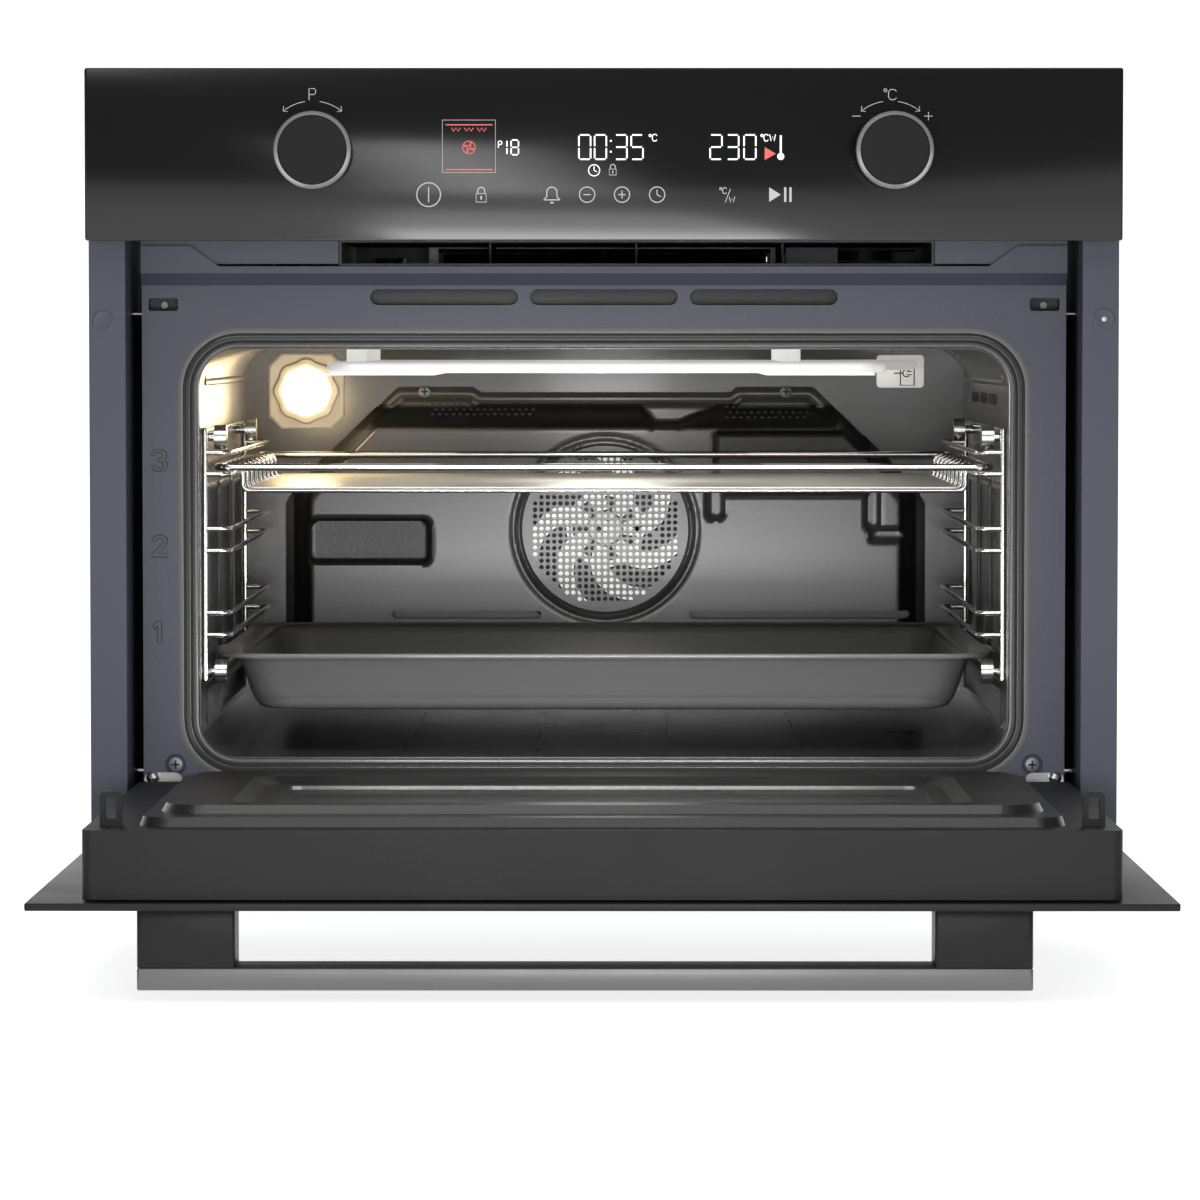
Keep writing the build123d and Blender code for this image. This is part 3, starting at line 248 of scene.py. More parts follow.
# Painted shade: a darker enamel for the parts of the fan cover that lie in shade.
cover_painted_shade = finish("cover_painted_shade", (0.010, 0.010, 0.010), (0.015, 0.015, 0.015), 0.3, 0.4,
                     grain_scale=420, depth=0.1)
door_pane_glass = finish("door_pane_glass", (0.006, 0.006, 0.006), (0.009, 0.009, 0.009),
                         0.4, 0.5, settings=[("Specular IOR Level", 0.25)])

# %% Finishes of the carcass
galvanised = finish("galvanised", (0.22, 0.23, 0.24), (0.32, 0.33, 0.34), 0.34, 0.5, 0.9,
                    drift=60, smear=60, grain_scale=500, depth=0.05)
board_green = finish("board_green", (0.015, 0.10, 0.05), (0.02, 0.13, 0.06), 0.3, 0.45,
                     drift=80)
mineral_wool = finish("mineral_wool", (0.42, 0.38, 0.26), (0.58, 0.53, 0.38), 0.9, 1.0,
                      drift=250, grain_scale=600, depth=0.9)
motor_steel = finish("motor_steel", (0.16, 0.17, 0.18), (0.22, 0.23, 0.24), 0.4, 0.55, 0.7,
                     grain_scale=300, stretch_z=8, depth=0.12)

# %% [markdown]
# Glass and lit signs need sockets of their own: the panes let light through, and the signs of the
# display shine by themselves.

# %% Glass and lit finishes
clear_glass = finish("clear_glass", (0.62, 0.64, 0.62), (0.66, 0.68, 0.66), 0.03, 0.06,
                     depth=0.0, settings=[("Transmission Weight", 0.9), ("IOR", 1.47)])


def lit(name, colour, strength):
    """A finish that shines, with a faint unevenness."""
    material = finish(name, colour, colour, 0.3, 0.4)
    shader = material.node_tree.nodes["Principled BSDF"]
    shader.inputs["Emission Color"].default_value = (*colour, 1)
    shader.inputs["Emission Strength"].default_value = strength
    return material


sign_white = lit("sign_white", (0.80, 0.80, 0.80), 0.75)
sign_grey = lit("sign_grey", (0.30, 0.30, 0.30), 0.6)
# The printed marks above the knobs glow too: painted light on print.
print_grey_painted_glow = lit("print_grey_painted_glow", (0.40, 0.40, 0.40), 0.5)
sign_red = lit("sign_red", (0.50, 0.075, 0.065), 0.5)
lamp_glow = lit("lamp_glow", (1.0, 0.91, 0.76), 1.15)
lamp_rim_glass = lit("lamp_rim_glass", (0.62, 0.56, 0.44), 0.22)

# %% [markdown]
# ## Building helpers
# Most parts here are a rounded outline that changes as it goes back: a slab with a fine arris, a tray, a
# stepped ring. So one helper draws such an outline and one joins a stack of them into a closed skin.
# Numbers are in millimetres and become metres when the mesh is made.

# %% Mesh helpers
MM = 0.001
ARC = 10  # steps in each rounded corner
MERGE = 1e-6  # metres


def make(name, verts, faces, materials, body, stands_for=(), bands=None, sharp=40, turn=True):
    """Turns lists of points and faces into a finished piece on its body."""
    mesh = bpy.data.meshes.new(name)
    mesh.from_pydata([(x * MM, y * MM, z * MM) for x, y, z in verts], [], faces)
    if bands:
        mesh.polygons.foreach_set("material_index", bands)
    if turn:
        work = bmesh.new()
        work.from_mesh(mesh)
        bmesh.ops.remove_doubles(work, verts=work.verts, dist=MERGE)
        bmesh.ops.recalc_face_normals(work, faces=work.faces)
        work.to_mesh(mesh)
        work.free()
    return place_piece(name, mesh, materials, body, stands_for, sharp)


def place_piece(name, mesh, materials, body, stands_for=(), sharp=40):
    """Links a mesh, gives it its finish and says which body carries it."""
    materials = materials if isinstance(materials, (list, tuple)) else [materials]
    if not mesh.materials:
        for material in materials:
            mesh.materials.append(material)
    mesh.polygons.foreach_set("use_smooth", [True] * len(mesh.polygons))
    mesh.set_sharp_from_angle(angle=math.radians(sharp))
    piece = bpy.data.objects.new(name, mesh)
    scene.collection.objects.link(piece)
    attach(piece, body)
    if stands_for:
        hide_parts(*stands_for)
    return piece


def outline(x0, x1, z0, z1, radius, y):
    """One rounded rectangle of a front view, at depth y."""
    points = []
    corners = [(x1 - radius, z0 + radius, -90), (x1 - radius, z1 - radius, 0),
               (x0 + radius, z1 - radius, 90), (x0 + radius, z0 + radius, 180)]
    for cx, cz, start in corners:
        for step in range(ARC + 1):
            angle = math.radians(start + 90 * step / ARC)
            points.append((cx + radius * math.cos(angle), y, cz + radius * math.sin(angle)))
    return points


def plan(x0, x1, y0, y1, radius, z):
    """One rounded rectangle of a plan view, at height z."""
    return [(x, height, depth) for x, depth, height in outline(x0, x1, y0, y1, radius, z)]


def skin(rings, closed=False):
    """Points and faces of a stack of rings: capped at both ends, or closed on itself."""
    count = len(rings[0])
    verts = [point for ring in rings for point in ring]
    faces = []
    for level in range(len(rings) if closed else len(rings) - 1):
        here, there = level * count, (level + 1) % len(rings) * count
        for k in range(count):
            after = (k + 1) % count
            faces.append((here + k, here + after, there + after, there + k))
    if not closed:
        faces.append(tuple(range(count))[::-1])
        faces.append(tuple(range((len(rings) - 1) * count, len(rings) * count)))
    return verts, faces


def join(*shapes):
    """Several shapes as one list of points and faces."""
    verts, faces = [], []
    for more_verts, more_faces in shapes:
        start = len(verts)
        verts += more_verts
        faces += [tuple(start + i for i in face) for face in more_faces]
    return verts, faces


def slab(x0, x1, y0, y1, z0, z1, radius=1.0, arris=0.4):
    """A plate seen from the front, with a fine bevel round both faces."""
    def at(inset, y):
        return outline(x0 + inset, x1 - inset, z0 + inset, z1 - inset, max(radius - inset, 0.05), y)
    return skin([at(arris, y0), at(arris * 0.3, y0 + arris * 0.3), at(0, y0 + arris), at(0, y1 - arris),
                 at(arris * 0.3, y1 - arris * 0.3), at(arris, y1)])


def turned(profile, centre, direction, count=40):
    """A turned part: (radius, distance along the axis) pairs spun round an axis."""
    cx, cy, cz = centre
    rings = []
    for radius, along in profile:
        ring = []
        for k in range(count):
            angle = math.tau * k / count
            u, v = radius * math.cos(angle), radius * math.sin(angle)
            if direction == "Y":
                ring.append((cx + u, cy + along, cz + v))
            elif direction == "X":
                ring.append((cx + along, cy + u, cz + v))
            else:
                ring.append((cx + u, cy + v, cz + along))
        rings.append(ring)
    return skin(rings)


def measured(node):
    """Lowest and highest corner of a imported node, in millimetres."""
    low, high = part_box(node)
    return low / MM, high / MM


print("chamber", [round(v) for v in measured("cavity_liner")[0]],
      [round(v) for v in measured("cavity_liner")[1]])

# %% [markdown]
# ## Geometry Nodes for repeats
# Screws, caps and rows of small holes are one part set on many points, and the fan's grille is a disc with
# a field of holes punched through it. One tree does each job, and its sizes are named inputs.

# %% Tree helpers
GEOMETRY, MATERIAL, VECTOR, OBJECT = ("NodeSocketGeometry", "NodeSocketMaterial", "NodeSocketVector",
                                      "NodeSocketObject")
INTEGER = "NodeSocketInt"
ORIGIN = (0, 0, 0)
NO_TURN = (0, 0, 0)


def new_tree(name, inputs):
    """A Geometry Nodes tree with a geometry input and the named inputs."""
    tree = bpy.data.node_groups.new(name, "GeometryNodeTree")
    tree.interface.new_socket("Geometry", in_out="INPUT", socket_type=GEOMETRY)
    for label, kind in inputs:
        tree.interface.new_socket(label, in_out="INPUT", socket_type=kind)
    tree.interface.new_socket("Geometry", in_out="OUTPUT", socket_type=GEOMETRY)
    return tree, tree.nodes.new("NodeGroupInput"), tree.nodes.new("NodeGroupOutput")


def finish_tree(tree, source, out, last, smooth=True):
    """Ends a tree with Realize Instances, smooth shading and Set Material."""
    realize = tree.nodes.new("GeometryNodeRealizeInstances")
    shade = tree.nodes.new("GeometryNodeSetShadeSmooth")
    shade.inputs["Shade Smooth"].default_value = smooth
    paint = tree.nodes.new("GeometryNodeSetMaterial")
    tree.links.new(last, realize.inputs["Geometry"])
    tree.links.new(realize.outputs["Geometry"], shade.inputs["Geometry"])
    tree.links.new(shade.outputs["Geometry"], paint.inputs["Geometry"])
    tree.links.new(source.outputs["Finish"], paint.inputs["Material"])
    tree.links.new(paint.outputs["Geometry"], out.inputs["Geometry"])


def grown(name, mesh, tree, values, material, body, stands_for=(), sharp=40):
    """Runs a tree on a mesh and keeps the result as a plain piece."""
    seed = bpy.data.objects.new("seed", mesh)
    scene.collection.objects.link(seed)
    modifier = seed.modifiers.new("tree", "NODES")
    modifier.node_group = tree
    for item in tree.interface.items_tree:
        if item.in_out == "INPUT" and item.name in values:
            modifier[item.identifier] = values[item.name]
        if item.in_out == "INPUT" and item.name == "Finish":
            modifier[item.identifier] = material
    graph = bpy.context.evaluated_depsgraph_get()
    result = bpy.data.meshes.new_from_object(seed.evaluated_get(graph))
    result.name = name
    bpy.data.objects.remove(seed)
    if not result.materials:
        result.materials.append(material)
    return place_piece(name, result, material, body, stands_for, sharp)


# %% The repeat tree
repeat_tree, source, out = new_tree("repeat_on_points",
                                    [("Part", OBJECT), ("Turn", VECTOR), ("Finish", MATERIAL)])
part = repeat_tree.nodes.new("GeometryNodeObjectInfo")
copies = repeat_tree.nodes.new("GeometryNodeInstanceOnPoints")
turn_by = repeat_tree.nodes.new("FunctionNodeEulerToRotation")
repeat_tree.links.new(source.outputs["Part"], part.inputs["Object"])
repeat_tree.links.new(source.outputs["Geometry"], copies.inputs["Points"])
repeat_tree.links.new(part.outputs["Geometry"], copies.inputs["Instance"])
repeat_tree.links.new(source.outputs["Turn"], turn_by.inputs["Euler"])
repeat_tree.links.new(turn_by.outputs["Rotation"], copies.inputs["Rotation"])
finish_tree(repeat_tree, source, out, copies.outputs["Instances"])


def repeated(name, shape, points, turn, material, body, stands_for=(), sharp=40):
    """Copies one small shape to every point."""
    verts, faces = shape
    small = bpy.data.meshes.new("small")
    small.from_pydata([(x * MM, y * MM, z * MM) for x, y, z in verts], [], faces)
    work = bmesh.new()
    work.from_mesh(small)
    bmesh.ops.remove_doubles(work, verts=work.verts, dist=1e-6)
    bmesh.ops.recalc_face_normals(work, faces=work.faces)
    work.to_mesh(small)
    work.free()
    part_object = bpy.data.objects.new("small", small)
    scene.collection.objects.link(part_object)
    mesh = bpy.data.meshes.new(name)
    mesh.from_pydata([(x * MM, y * MM, z * MM) for x, y, z in points], [], [])
    values = {"Part": part_object, "Turn": tuple(math.radians(a) for a in turn)}
    piece = grown(name, mesh, repeat_tree, values, material, body, stands_for, sharp)
    bpy.data.objects.remove(part_object)
    return piece


# %% The punched disc tree
punch_tree, source, out = new_tree(
    "punched_disc", [("Radius", NUMBER), ("Thickness", NUMBER), ("Pitch", NUMBER), ("Field radius", NUMBER),
                     ("Hole radius", NUMBER), ("Rows", INTEGER), ("Finish", MATERIAL)])
disc = punch_tree.nodes.new("GeometryNodeMeshCylinder")
disc.inputs["Vertices"].default_value = 96
field = punch_tree.nodes.new("GeometryNodeMeshGrid")
span = punch_tree.nodes.new("ShaderNodeMath")
span.operation = "MULTIPLY"
steps = punch_tree.nodes.new("ShaderNodeMath")
steps.operation = "SUBTRACT"
steps.inputs[1].default_value = 1
where = punch_tree.nodes.new("GeometryNodeInputPosition")
far = punch_tree.nodes.new("ShaderNodeVectorMath")
far.operation = "LENGTH"
beyond = punch_tree.nodes.new("FunctionNodeCompare")
beyond.operation = "GREATER_THAN"
trim = punch_tree.nodes.new("GeometryNodeDeleteGeometry")
drill = punch_tree.nodes.new("GeometryNodeMeshCylinder")
drill.inputs["Vertices"].default_value = 10
drill.inputs["Depth"].default_value = 0.01
holes = punch_tree.nodes.new("GeometryNodeInstanceOnPoints")
cut = punch_tree.nodes.new("GeometryNodeMeshBoolean")
cut.operation = "DIFFERENCE"
link = punch_tree.links.new
link(source.outputs["Radius"], disc.inputs["Radius"])
link(source.outputs["Thickness"], disc.inputs["Depth"])
link(source.outputs["Rows"], steps.inputs[0])
link(steps.outputs[0], span.inputs[0])
link(source.outputs["Pitch"], span.inputs[1])
link(span.outputs[0], field.inputs["Size X"])
link(span.outputs[0], field.inputs["Size Y"])
link(source.outputs["Rows"], field.inputs["Vertices X"])
link(source.outputs["Rows"], field.inputs["Vertices Y"])
link(where.outputs["Position"], far.inputs[0])
link(far.outputs["Value"], beyond.inputs[0])
link(source.outputs["Field radius"], beyond.inputs[1])
link(field.outputs["Mesh"], trim.inputs["Geometry"])
link(beyond.outputs["Result"], trim.inputs["Selection"])
link(trim.outputs["Geometry"], holes.inputs["Points"])
link(source.outputs["Hole radius"], drill.inputs["Radius"])
link(drill.outputs["Mesh"], holes.inputs["Instance"])
link(disc.outputs["Mesh"], cut.inputs["Mesh 1"])
link(holes.outputs["Instances"], cut.inputs["Mesh 2"])
finish_tree(punch_tree, source, out, cut.outputs["Mesh"], smooth=False)
print("trees:", [t.name for t in bpy.data.node_groups if t.bl_idname == "GeometryNodeTree"])

# %% [markdown]
# ## The glass panel
# The panel is one sheet of black glass with ground edges, so it is a slab with a fine arris that catches
# the light as a thin line. A plain box would have no such line and would look like plastic.

# %% Panel glass
low, high = measured("panel_glass")
PANEL_FACE = low[1]
panel = slab(low[0], high[0], low[1], high[1], low[2], high[2], radius=1.6, arris=0.7)
make("panel_sheet", *panel, black_glass, "carcass", ["panel_glass"], sharp=30)
print("panel", [round(v, 1) for v in high - low])

# %% [markdown]
# ## Signs on the glass
# The signs are printed or lit just behind the glass and read as flat marks on it. Digits are drawn with
# seven bars each, and letters and icons with short ribbons. Each is a closed skin a few hundredths of a
# millimetre thick, so the signs stay real geometry.

# %% Sign helpers
SIGN_DEPTH = 0.06


def ribbon(points, width, closed=False, face=None):
    """A flat stroke along points (x, z), standing on the glass."""
    face = PANEL_FACE if face is None else face
    count = len(points)
    left, right = [], []
    for i in range(count):
        before = points[(i - 1) % count] if closed or i else points[i]
        after = points[(i + 1) % count] if closed or i < count - 1 else points[i]
        dx, dz = after[0] - before[0], after[1] - before[1]
        size = math.hypot(dx, dz) or 1
        nx, nz = -dz / size * width / 2, dx / size * width / 2
        left.append((points[i][0] + nx, points[i][1] + nz))
        right.append((points[i][0] - nx, points[i][1] - nz))
    verts = [(x, face - SIGN_DEPTH, z) for x, z in left + right] + [(x, face, z) for x, z in left + right]
    faces = []
    for i in range(count if closed else count - 1):
        j = (i + 1) % count
        a, b, c, d = i, j, count + j, count + i
        low_level = 2 * count
        faces += [(a, b, c, d), (low_level + d, low_level + c, low_level + b, low_level + a),
                  (a, low_level + a, low_level + b, b), (d, c, low_level + c, low_level + d)]
    if not closed:
        last, level = count - 1, 2 * count
        faces += [(0, count, level + count, level), (last, level + last, level + count + last, count + last)]
    return verts, faces


def arc(cx, cz, radius, start, stop, steps=20):
    """Points on an arc, angles in degrees."""
    return [(cx + radius * math.cos(math.radians(start + (stop - start) * k / steps)),
             cz + radius * math.sin(math.radians(start + (stop - start) * k / steps)))
            for k in range(steps + 1)]


def ring_sign(cx, cz, radius, width):
    """A full circle drawn as a stroke."""
    return ribbon(arc(cx, cz, radius, 0, 360, 28)[:-1], width, closed=True)


def patch(points, face=None):
    """A filled flat shape with (x, z) corners."""
    face = PANEL_FACE if face is None else face
    return skin([[(x, face - SIGN_DEPTH, z) for x, z in points], [(x, face, z) for x, z in points]])


# %% Lit digits and thin letters
SEGMENTS = {"0": "abcdef", "1": "bc", "2": "abged", "3": "abgcd", "5": "afgcd", "8": "abcdefg"}
PLACES = {"a": ((0, 1), (1, 1)), "b": ((1, 1), (1, 0.5)), "c": ((1, 0.5), (1, 0)), "d": ((0, 0), (1, 0)),
          "e": ((0, 0.5), (0, 0)), "f": ((0, 1), (0, 0.5)), "g": ((0, 0.5), (1, 0.5))}
LETTERS = {"P": [[(0, 0), (0, 1), (0.75, 1), (1, 0.87), (1, 0.62), (0.75, 0.48), (0, 0.48)]],
           "C": [[(1, 0.8), (0.75, 1), (0.25, 1), (0, 0.75), (0, 0.25), (0.25, 0), (0.75, 0), (1, 0.2)]],
           "W": [[(0, 1), (0.25, 0), (0.5, 0.7), (0.75, 0), (1, 1)]], "/": [[(0, 0), (1, 1)]]}


def digit(sign, x, z, width, height, stroke):
    """One digit of seven bars with small gaps at the corners."""
    shapes, gap = [], stroke * 0.65
    for name in SEGMENTS[sign]:
        (u0, v0), (u1, v1) = PLACES[name]
        sx, sz = (gap, 0) if v0 == v1 else (0, -gap)
        shapes.append(ribbon([(x + u0 * width + sx, z + v0 * height + sz),
                              (x + u1 * width - sx, z + v1 * height - sz)], stroke))
    return shapes


def letter(sign, x, z, width, height, stroke):
    """One thin letter; a degree sign is a small ring at the top."""
    if sign == "o":
        return [ring_sign(x + width / 2, z + height - width / 2, width / 2, stroke)]
    return [ribbon([(x + u * width, z + v * height) for u, v in line], stroke) for line in LETTERS[sign]]


# %% Where things sit on the panel
KNOB_X, KNOB_Z = 166.2, 403.5
TOUCH_Z = 378.4

# %% Red signs: the chosen heating mode
square = ribbon([(-92.4, 391), (-62, 391), (-62, 421), (-92.4, 421)], 0.35, closed=True)
bars = [patch([(-90.5, z - 0.35), (-63.6, z - 0.35), (-63.6, z + 0.35), (-90.5, z + 0.35)])
        for z in (418.3, 392.7)]
zigzag = join(*[ribbon([(left + 1.3 * k, 414.6 if k % 2 else 416.6) for k in range(5)], 0.5)
                for left in (-87.2, -79.8, -72.4)])
fan_mark = [ring_sign(-77.2, 405.4, 3.6, 0.5), ring_sign(-77.2, 405.4, 1.0, 0.6)]
for turn in (45, 135, 225, 315):
    fan_mark.append(ribbon([(-77.2 + 1.0 * math.cos(math.radians(turn)),
                             405.4 + 1.0 * math.sin(math.radians(turn))),
                            (-77.2 + 3.2 * math.cos(math.radians(turn + 25)),
                             405.4 + 3.2 * math.sin(math.radians(turn + 25)))], 0.9))
warning = patch([(92.2, 398.1), (92.2, 405.6), (98.6, 401.8)])
red_marks = join(*bars, zigzag, *fan_mark, warning)
make("red_signs", *red_marks, sign_red, "carcass", sharp=20)
make("mode_frame", *square, sign_grey, "carcass", sharp=20)

# %% White and grey signs: time, temperature and the row of touch keys
white = []
for sign, left in (("1", -59.6), ("8", -53.0)):
    white += digit(sign, left, 401.2, 4.2, 8.4, 0.75)
for sign, left in (("0", -14.2), ("0", -5.2), ("3", 6.6), ("5", 15.8)):
    white += digit(sign, left, 398.6, 6.7, 13.9, 0.85)
for up in (402.4, 408.6):
    white.append(patch([(3.6, up), (4.6, up), (4.6, up + 1), (3.6, up + 1)]))
for sign, left in (("2", 61.0), ("3", 70.6), ("0", 80.4)):
    white += digit(sign, left, 398.6, 6.7, 13.9, 0.85)
for sign, left, up, size in (("P", -60.3, 405.2, 2.0), ("o", 26.0, 409.0, 1.3), ("C", 27.9, 409.0, 2.6),
                             ("o", 90.0, 409.0, 1.3), ("C", 91.8, 409.0, 2.4), ("W", 95.0, 409.0, 3.4)):
    white += letter(sign, left, up, size, 3.8, 0.5)
white.append(ring_sign(-5.5, 392.3, 3.2, 0.5))
white.append(ribbon([(-5.5, 394.5), (-5.5, 392.3), (-3.9, 391.5)], 0.5))
gauge = ribbon([(101.4, 412.2), (101.4, 402.0)], 1.1)
bulb = patch(arc(101.4, 400.2, 2.0, 0, 342, 18))
white += [gauge, bulb]
make("white_signs", *join(*white), sign_white, "carcass", sharp=20)

lock = [ribbon([(3.2, 389.6), (7.2, 389.6), (7.2, 393.0), (3.2, 393.0)], 0.4, closed=True),
        ribbon([(5.2, 390.6), (5.2, 392.0)], 0.7),
        ribbon([(3.8, 393.2), (3.8, 394.3)] + arc(5.2, 394.3, 1.4, 180, 0, 8) + [(6.6, 394.3),
                                                                                 (6.6, 393.2)], 0.5)]
keys = [ring_sign(-100.3, TOUCH_Z, 6.8, 0.6), ribbon([(-100.3, TOUCH_Z - 4.3), (-100.3, TOUCH_Z + 4.3)], 0.6),
        ribbon([(-73.1, TOUCH_Z - 4.2), (-67.3, TOUCH_Z - 4.2), (-67.3, TOUCH_Z + 0.6),
                (-73.1, TOUCH_Z + 0.6)], 0.45,
               closed=True), ribbon([(-70.2, TOUCH_Z - 2.8), (-70.2, TOUCH_Z - 0.8)], 0.9),
        ribbon([(-72.2, TOUCH_Z + 0.6), (-72.2, TOUCH_Z + 2.2)] + arc(-70.2, TOUCH_Z + 2.2, 2.0, 180, 0, 8)
               + [(-68.2, TOUCH_Z + 0.6)], 0.6),
        ribbon([(-34.4, TOUCH_Z - 3), (-32.6, TOUCH_Z - 1.2), (-32.6, TOUCH_Z + 1.4)]
               + arc(-29.7, TOUCH_Z + 1.4, 2.9, 180, 0, 10) + [(-26.8, TOUCH_Z - 1.2), (-25, TOUCH_Z - 3)],
               0.6),
        ribbon([(-34.4, TOUCH_Z - 3), (-25, TOUCH_Z - 3)], 0.6),
        ribbon([(-30.7, TOUCH_Z - 4.6), (-28.7, TOUCH_Z - 4.6)], 0.8), ring_sign(-9.5, TOUCH_Z, 4.4, 0.55),
        ribbon([(-11.6, TOUCH_Z), (-7.4, TOUCH_Z)], 0.55), ring_sign(10.5, TOUCH_Z, 4.4, 0.55),
        ribbon([(8.4, TOUCH_Z), (12.6, TOUCH_Z)], 0.55),
        ribbon([(10.5, TOUCH_Z - 2.1), (10.5, TOUCH_Z + 2.1)], 0.55), ring_sign(30.6, TOUCH_Z, 4.4, 0.55),
        ribbon([(30.6, TOUCH_Z + 2.9), (30.6, TOUCH_Z), (32.8, TOUCH_Z - 1.2)], 0.55),
        *letter("o", 66.4, TOUCH_Z + 0.6, 1.2, 3.4, 0.45),
        *letter("C", 68.2, TOUCH_Z + 0.6, 2.2, 3.4, 0.45), *letter("/", 69.6, TOUCH_Z - 4.4, 3.0, 7.6, 0.4),
        *letter("W", 71.9, TOUCH_Z - 4.4, 3.2, 3.2, 0.45),
        patch([(94.8, TOUCH_Z - 4.2), (94.8, TOUCH_Z + 4.2), (101.4, TOUCH_Z)]),
        ribbon([(104.0, TOUCH_Z - 4.2), (104.0, TOUCH_Z + 4.2)], 1.3),
        ribbon([(107.0, TOUCH_Z - 4.2), (107.0, TOUCH_Z + 4.2)], 1.3)]
make("touch_keys", *join(*lock, *keys), sign_grey, "carcass", sharp=20)

# %% Printed marks above the knobs: a double arrow, with P on the left and a temperature scale on the right
prints = []
for centre, word in ((-KNOB_X - 0.6, "P"), (KNOB_X - 2.0, "°C")):
    if word == "P":
        prints += letter("P", centre - 1.9, 432.4, 3.8, 6.6, 0.36)
    else:
        prints += letter("o", centre - 3.8, 432.6, 1.7, 6.2, 0.32) + letter("C", centre - 1.2, 432.6, 4.6,
                                                                            5.8, 0.36)
    for side in (-1, 1):
        start, stop = (90 - side * 9, 90 - side * 38)
        bow = arc(centre, 404.6, 27.3, start, stop, 10)
        tip = bow[-1]
        prints.append(ribbon(bow, 0.32))
        prints.append(ribbon([(tip[0] - side * 2.6, tip[1] - 0.2), tip,
                              (tip[0] - side * 0.4, tip[1] + 2.8)], 0.32))
for across, word in ((144.6, "-"), (185.9, "+")):
    half = 2.4
    prints.append(ribbon([(across - half, 423.2), (across + half, 423.2)], 0.35))
    if word == "+":
        prints.append(ribbon([(across, 423.2 - half), (across, 423.2 + half)], 0.35))
make("knob_prints", *join(*prints), print_grey_painted_glow, "carcass", sharp=20)
print("signs made")

# %% [markdown]
# ## The two knobs
# Each knob is turned from bar: a finely ribbed skirt, a bright chamfer and a flat satin face. A profile
# spun round the axis gives it, and the skirt's ribs are a small wave on the radius. The faces are sorted
# into three finishes by ring.

# %% Knobs
KNURLS, AROUND = 60, 240
KNOB_PROFILE = [  # radius, y, how deep the ribs are, finish of the band that follows
    (4.0, -3.6, 0, 2), (4.0, -20.6, 0, 2), (19.6, -20.8, 0, 2), (21.6, -22.6, 0, 2), (22.2, -23.4, 0.25, 2),
    (22.45, -24.6, 0.35, 2), (22.45, -34.2, 0.35, 2), (22.3, -35.2, 0.2, 1), (21.9, -35.9, 0, 1),
    (20.4, -37.4, 0, 1), (19.9, -37.8, 0, 0), (19.4, -37.85, 0, 0), (19.1, -37.6, 0, 0),
    (12.0, -37.62, 0, 0), (4.0, -37.62, 0, 0)]
for side, body in ((-1, "left_knob"), (1, "right_knob")):
    rings, bands = [], []
    for radius, y, depth, band in KNOB_PROFILE:
        ring = []
        for k in range(AROUND):
            angle = math.tau * k / AROUND
            r = radius - depth * (0.5 + 0.5 * math.cos(KNURLS * angle))
            ring.append((side * KNOB_X + r * math.cos(angle), y, KNOB_Z + r * math.sin(angle)))
        rings.append(ring)
        bands += [band] * AROUND
    verts, faces = skin(rings)
    bands = bands[:-AROUND] + [2, 0]
    make(body + "_cap", verts, faces, [knob_face, knob_bevel, handle_black], body,
         [("knob_left", "knob_right")[side > 0]], bands=bands, sharp=25)
print("knob skirts with", KNURLS, "ribs")

# %% [markdown]
# ## The ringed mouth
# Round the opening runs a pressed ring with rounded steps. It keeps the heat and the waves inside, and
# the eye reads it as four dark bands with a bright inner edge. Rings of the same rounded outline, one
# inside the other at changing depth, give exactly that.

# %% Choke ring
MOUTH = (-236.4, 236.4, 50.8, 289.9)
RING_STEPS = [  # distance outwards from the opening, y, finish of the band that follows
    (13.1, 31.6, 0), (12.9, 29.2, 0), (9.8, 28.3, 0), (9.3, 28.5, 2), (9.0, 30.6, 2), (8.2, 30.7, 2),
    (7.9, 29.2, 1), (5.6, 28.4, 1), (5.2, 28.5, 2), (4.9, 30.4, 2), (4.2, 30.4, 2), (3.9, 29.0, 1),
    (1.5, 28.5, 1), (0.7, 28.9, 3), (0.3, 29.9, 3), (0.2, 31.6, 0), (6.0, 31.9, 0)]
rings, bands = [], []
for out_by, y, band in RING_STEPS:
    x0, x1, z0, z1 = MOUTH
    rings.append(outline(x0 - out_by, x1 + out_by, z0 - out_by, z1 + out_by, 23 + out_by, y))
    bands += [band] * len(rings[-1])
verts, faces = skin(rings, closed=True)
make("mouth_ring", verts, faces, [olive_band, ring_band, black_print_and_painted_shade, stainless], "carcass",
     ["opening_frame"], bands=bands, sharp=50)
print("ring bands", len(RING_STEPS))

# %% [markdown]
# ## Level numbers
# The three shelf levels are pressed into the left side of the frame as outlined figures. A fine raised
# stroke in the frame's own enamel with a shadow stroke beside it reads as an embossed outline.

# %% Level numbers
FRAME_FACE = 28.9
STROKES = {
    "1": [(0, 9.6), (3.4, 12.6), (5.6, 12.6), (5.6, 0), (3.1, 0), (3.1, 9.4), (1.2, 7.6)],
    "2": [(0, 9), (0.6, 11.4), (3, 12.8), (6.4, 12.8), (9, 11.2), (9.2, 8.4), (7.6, 5.9), (3.6, 2.2),
          (9.3, 2.2), (9.3, 0), (0, 0), (0, 2.1), (5.6, 7.2), (6.8, 8.8), (6.4, 10.4), (4.8, 10.9),
          (2.9, 10.4), (2.4, 9)],
    "3": [(0, 9.6), (0.9, 12), (3.6, 12.8), (7, 12.4), (8.9, 10.6), (8.7, 8), (6.9, 6.6), (9, 5.4), (9.5, 3),
          (8, 0.7), (4.8, 0), (1.4, 0.5), (-0.2, 2.9), (2.2, 3.3), (3.4, 2), (5, 1.7), (6.8, 2.4), (7, 4),
          (5.8, 5.4), (3.6, 5.6), (3.6, 7.2), (5.6, 7.6), (6.5, 9), (6, 10.6), (4.4, 11.2), (2.8, 10.8),
          (2.3, 9.4)]}
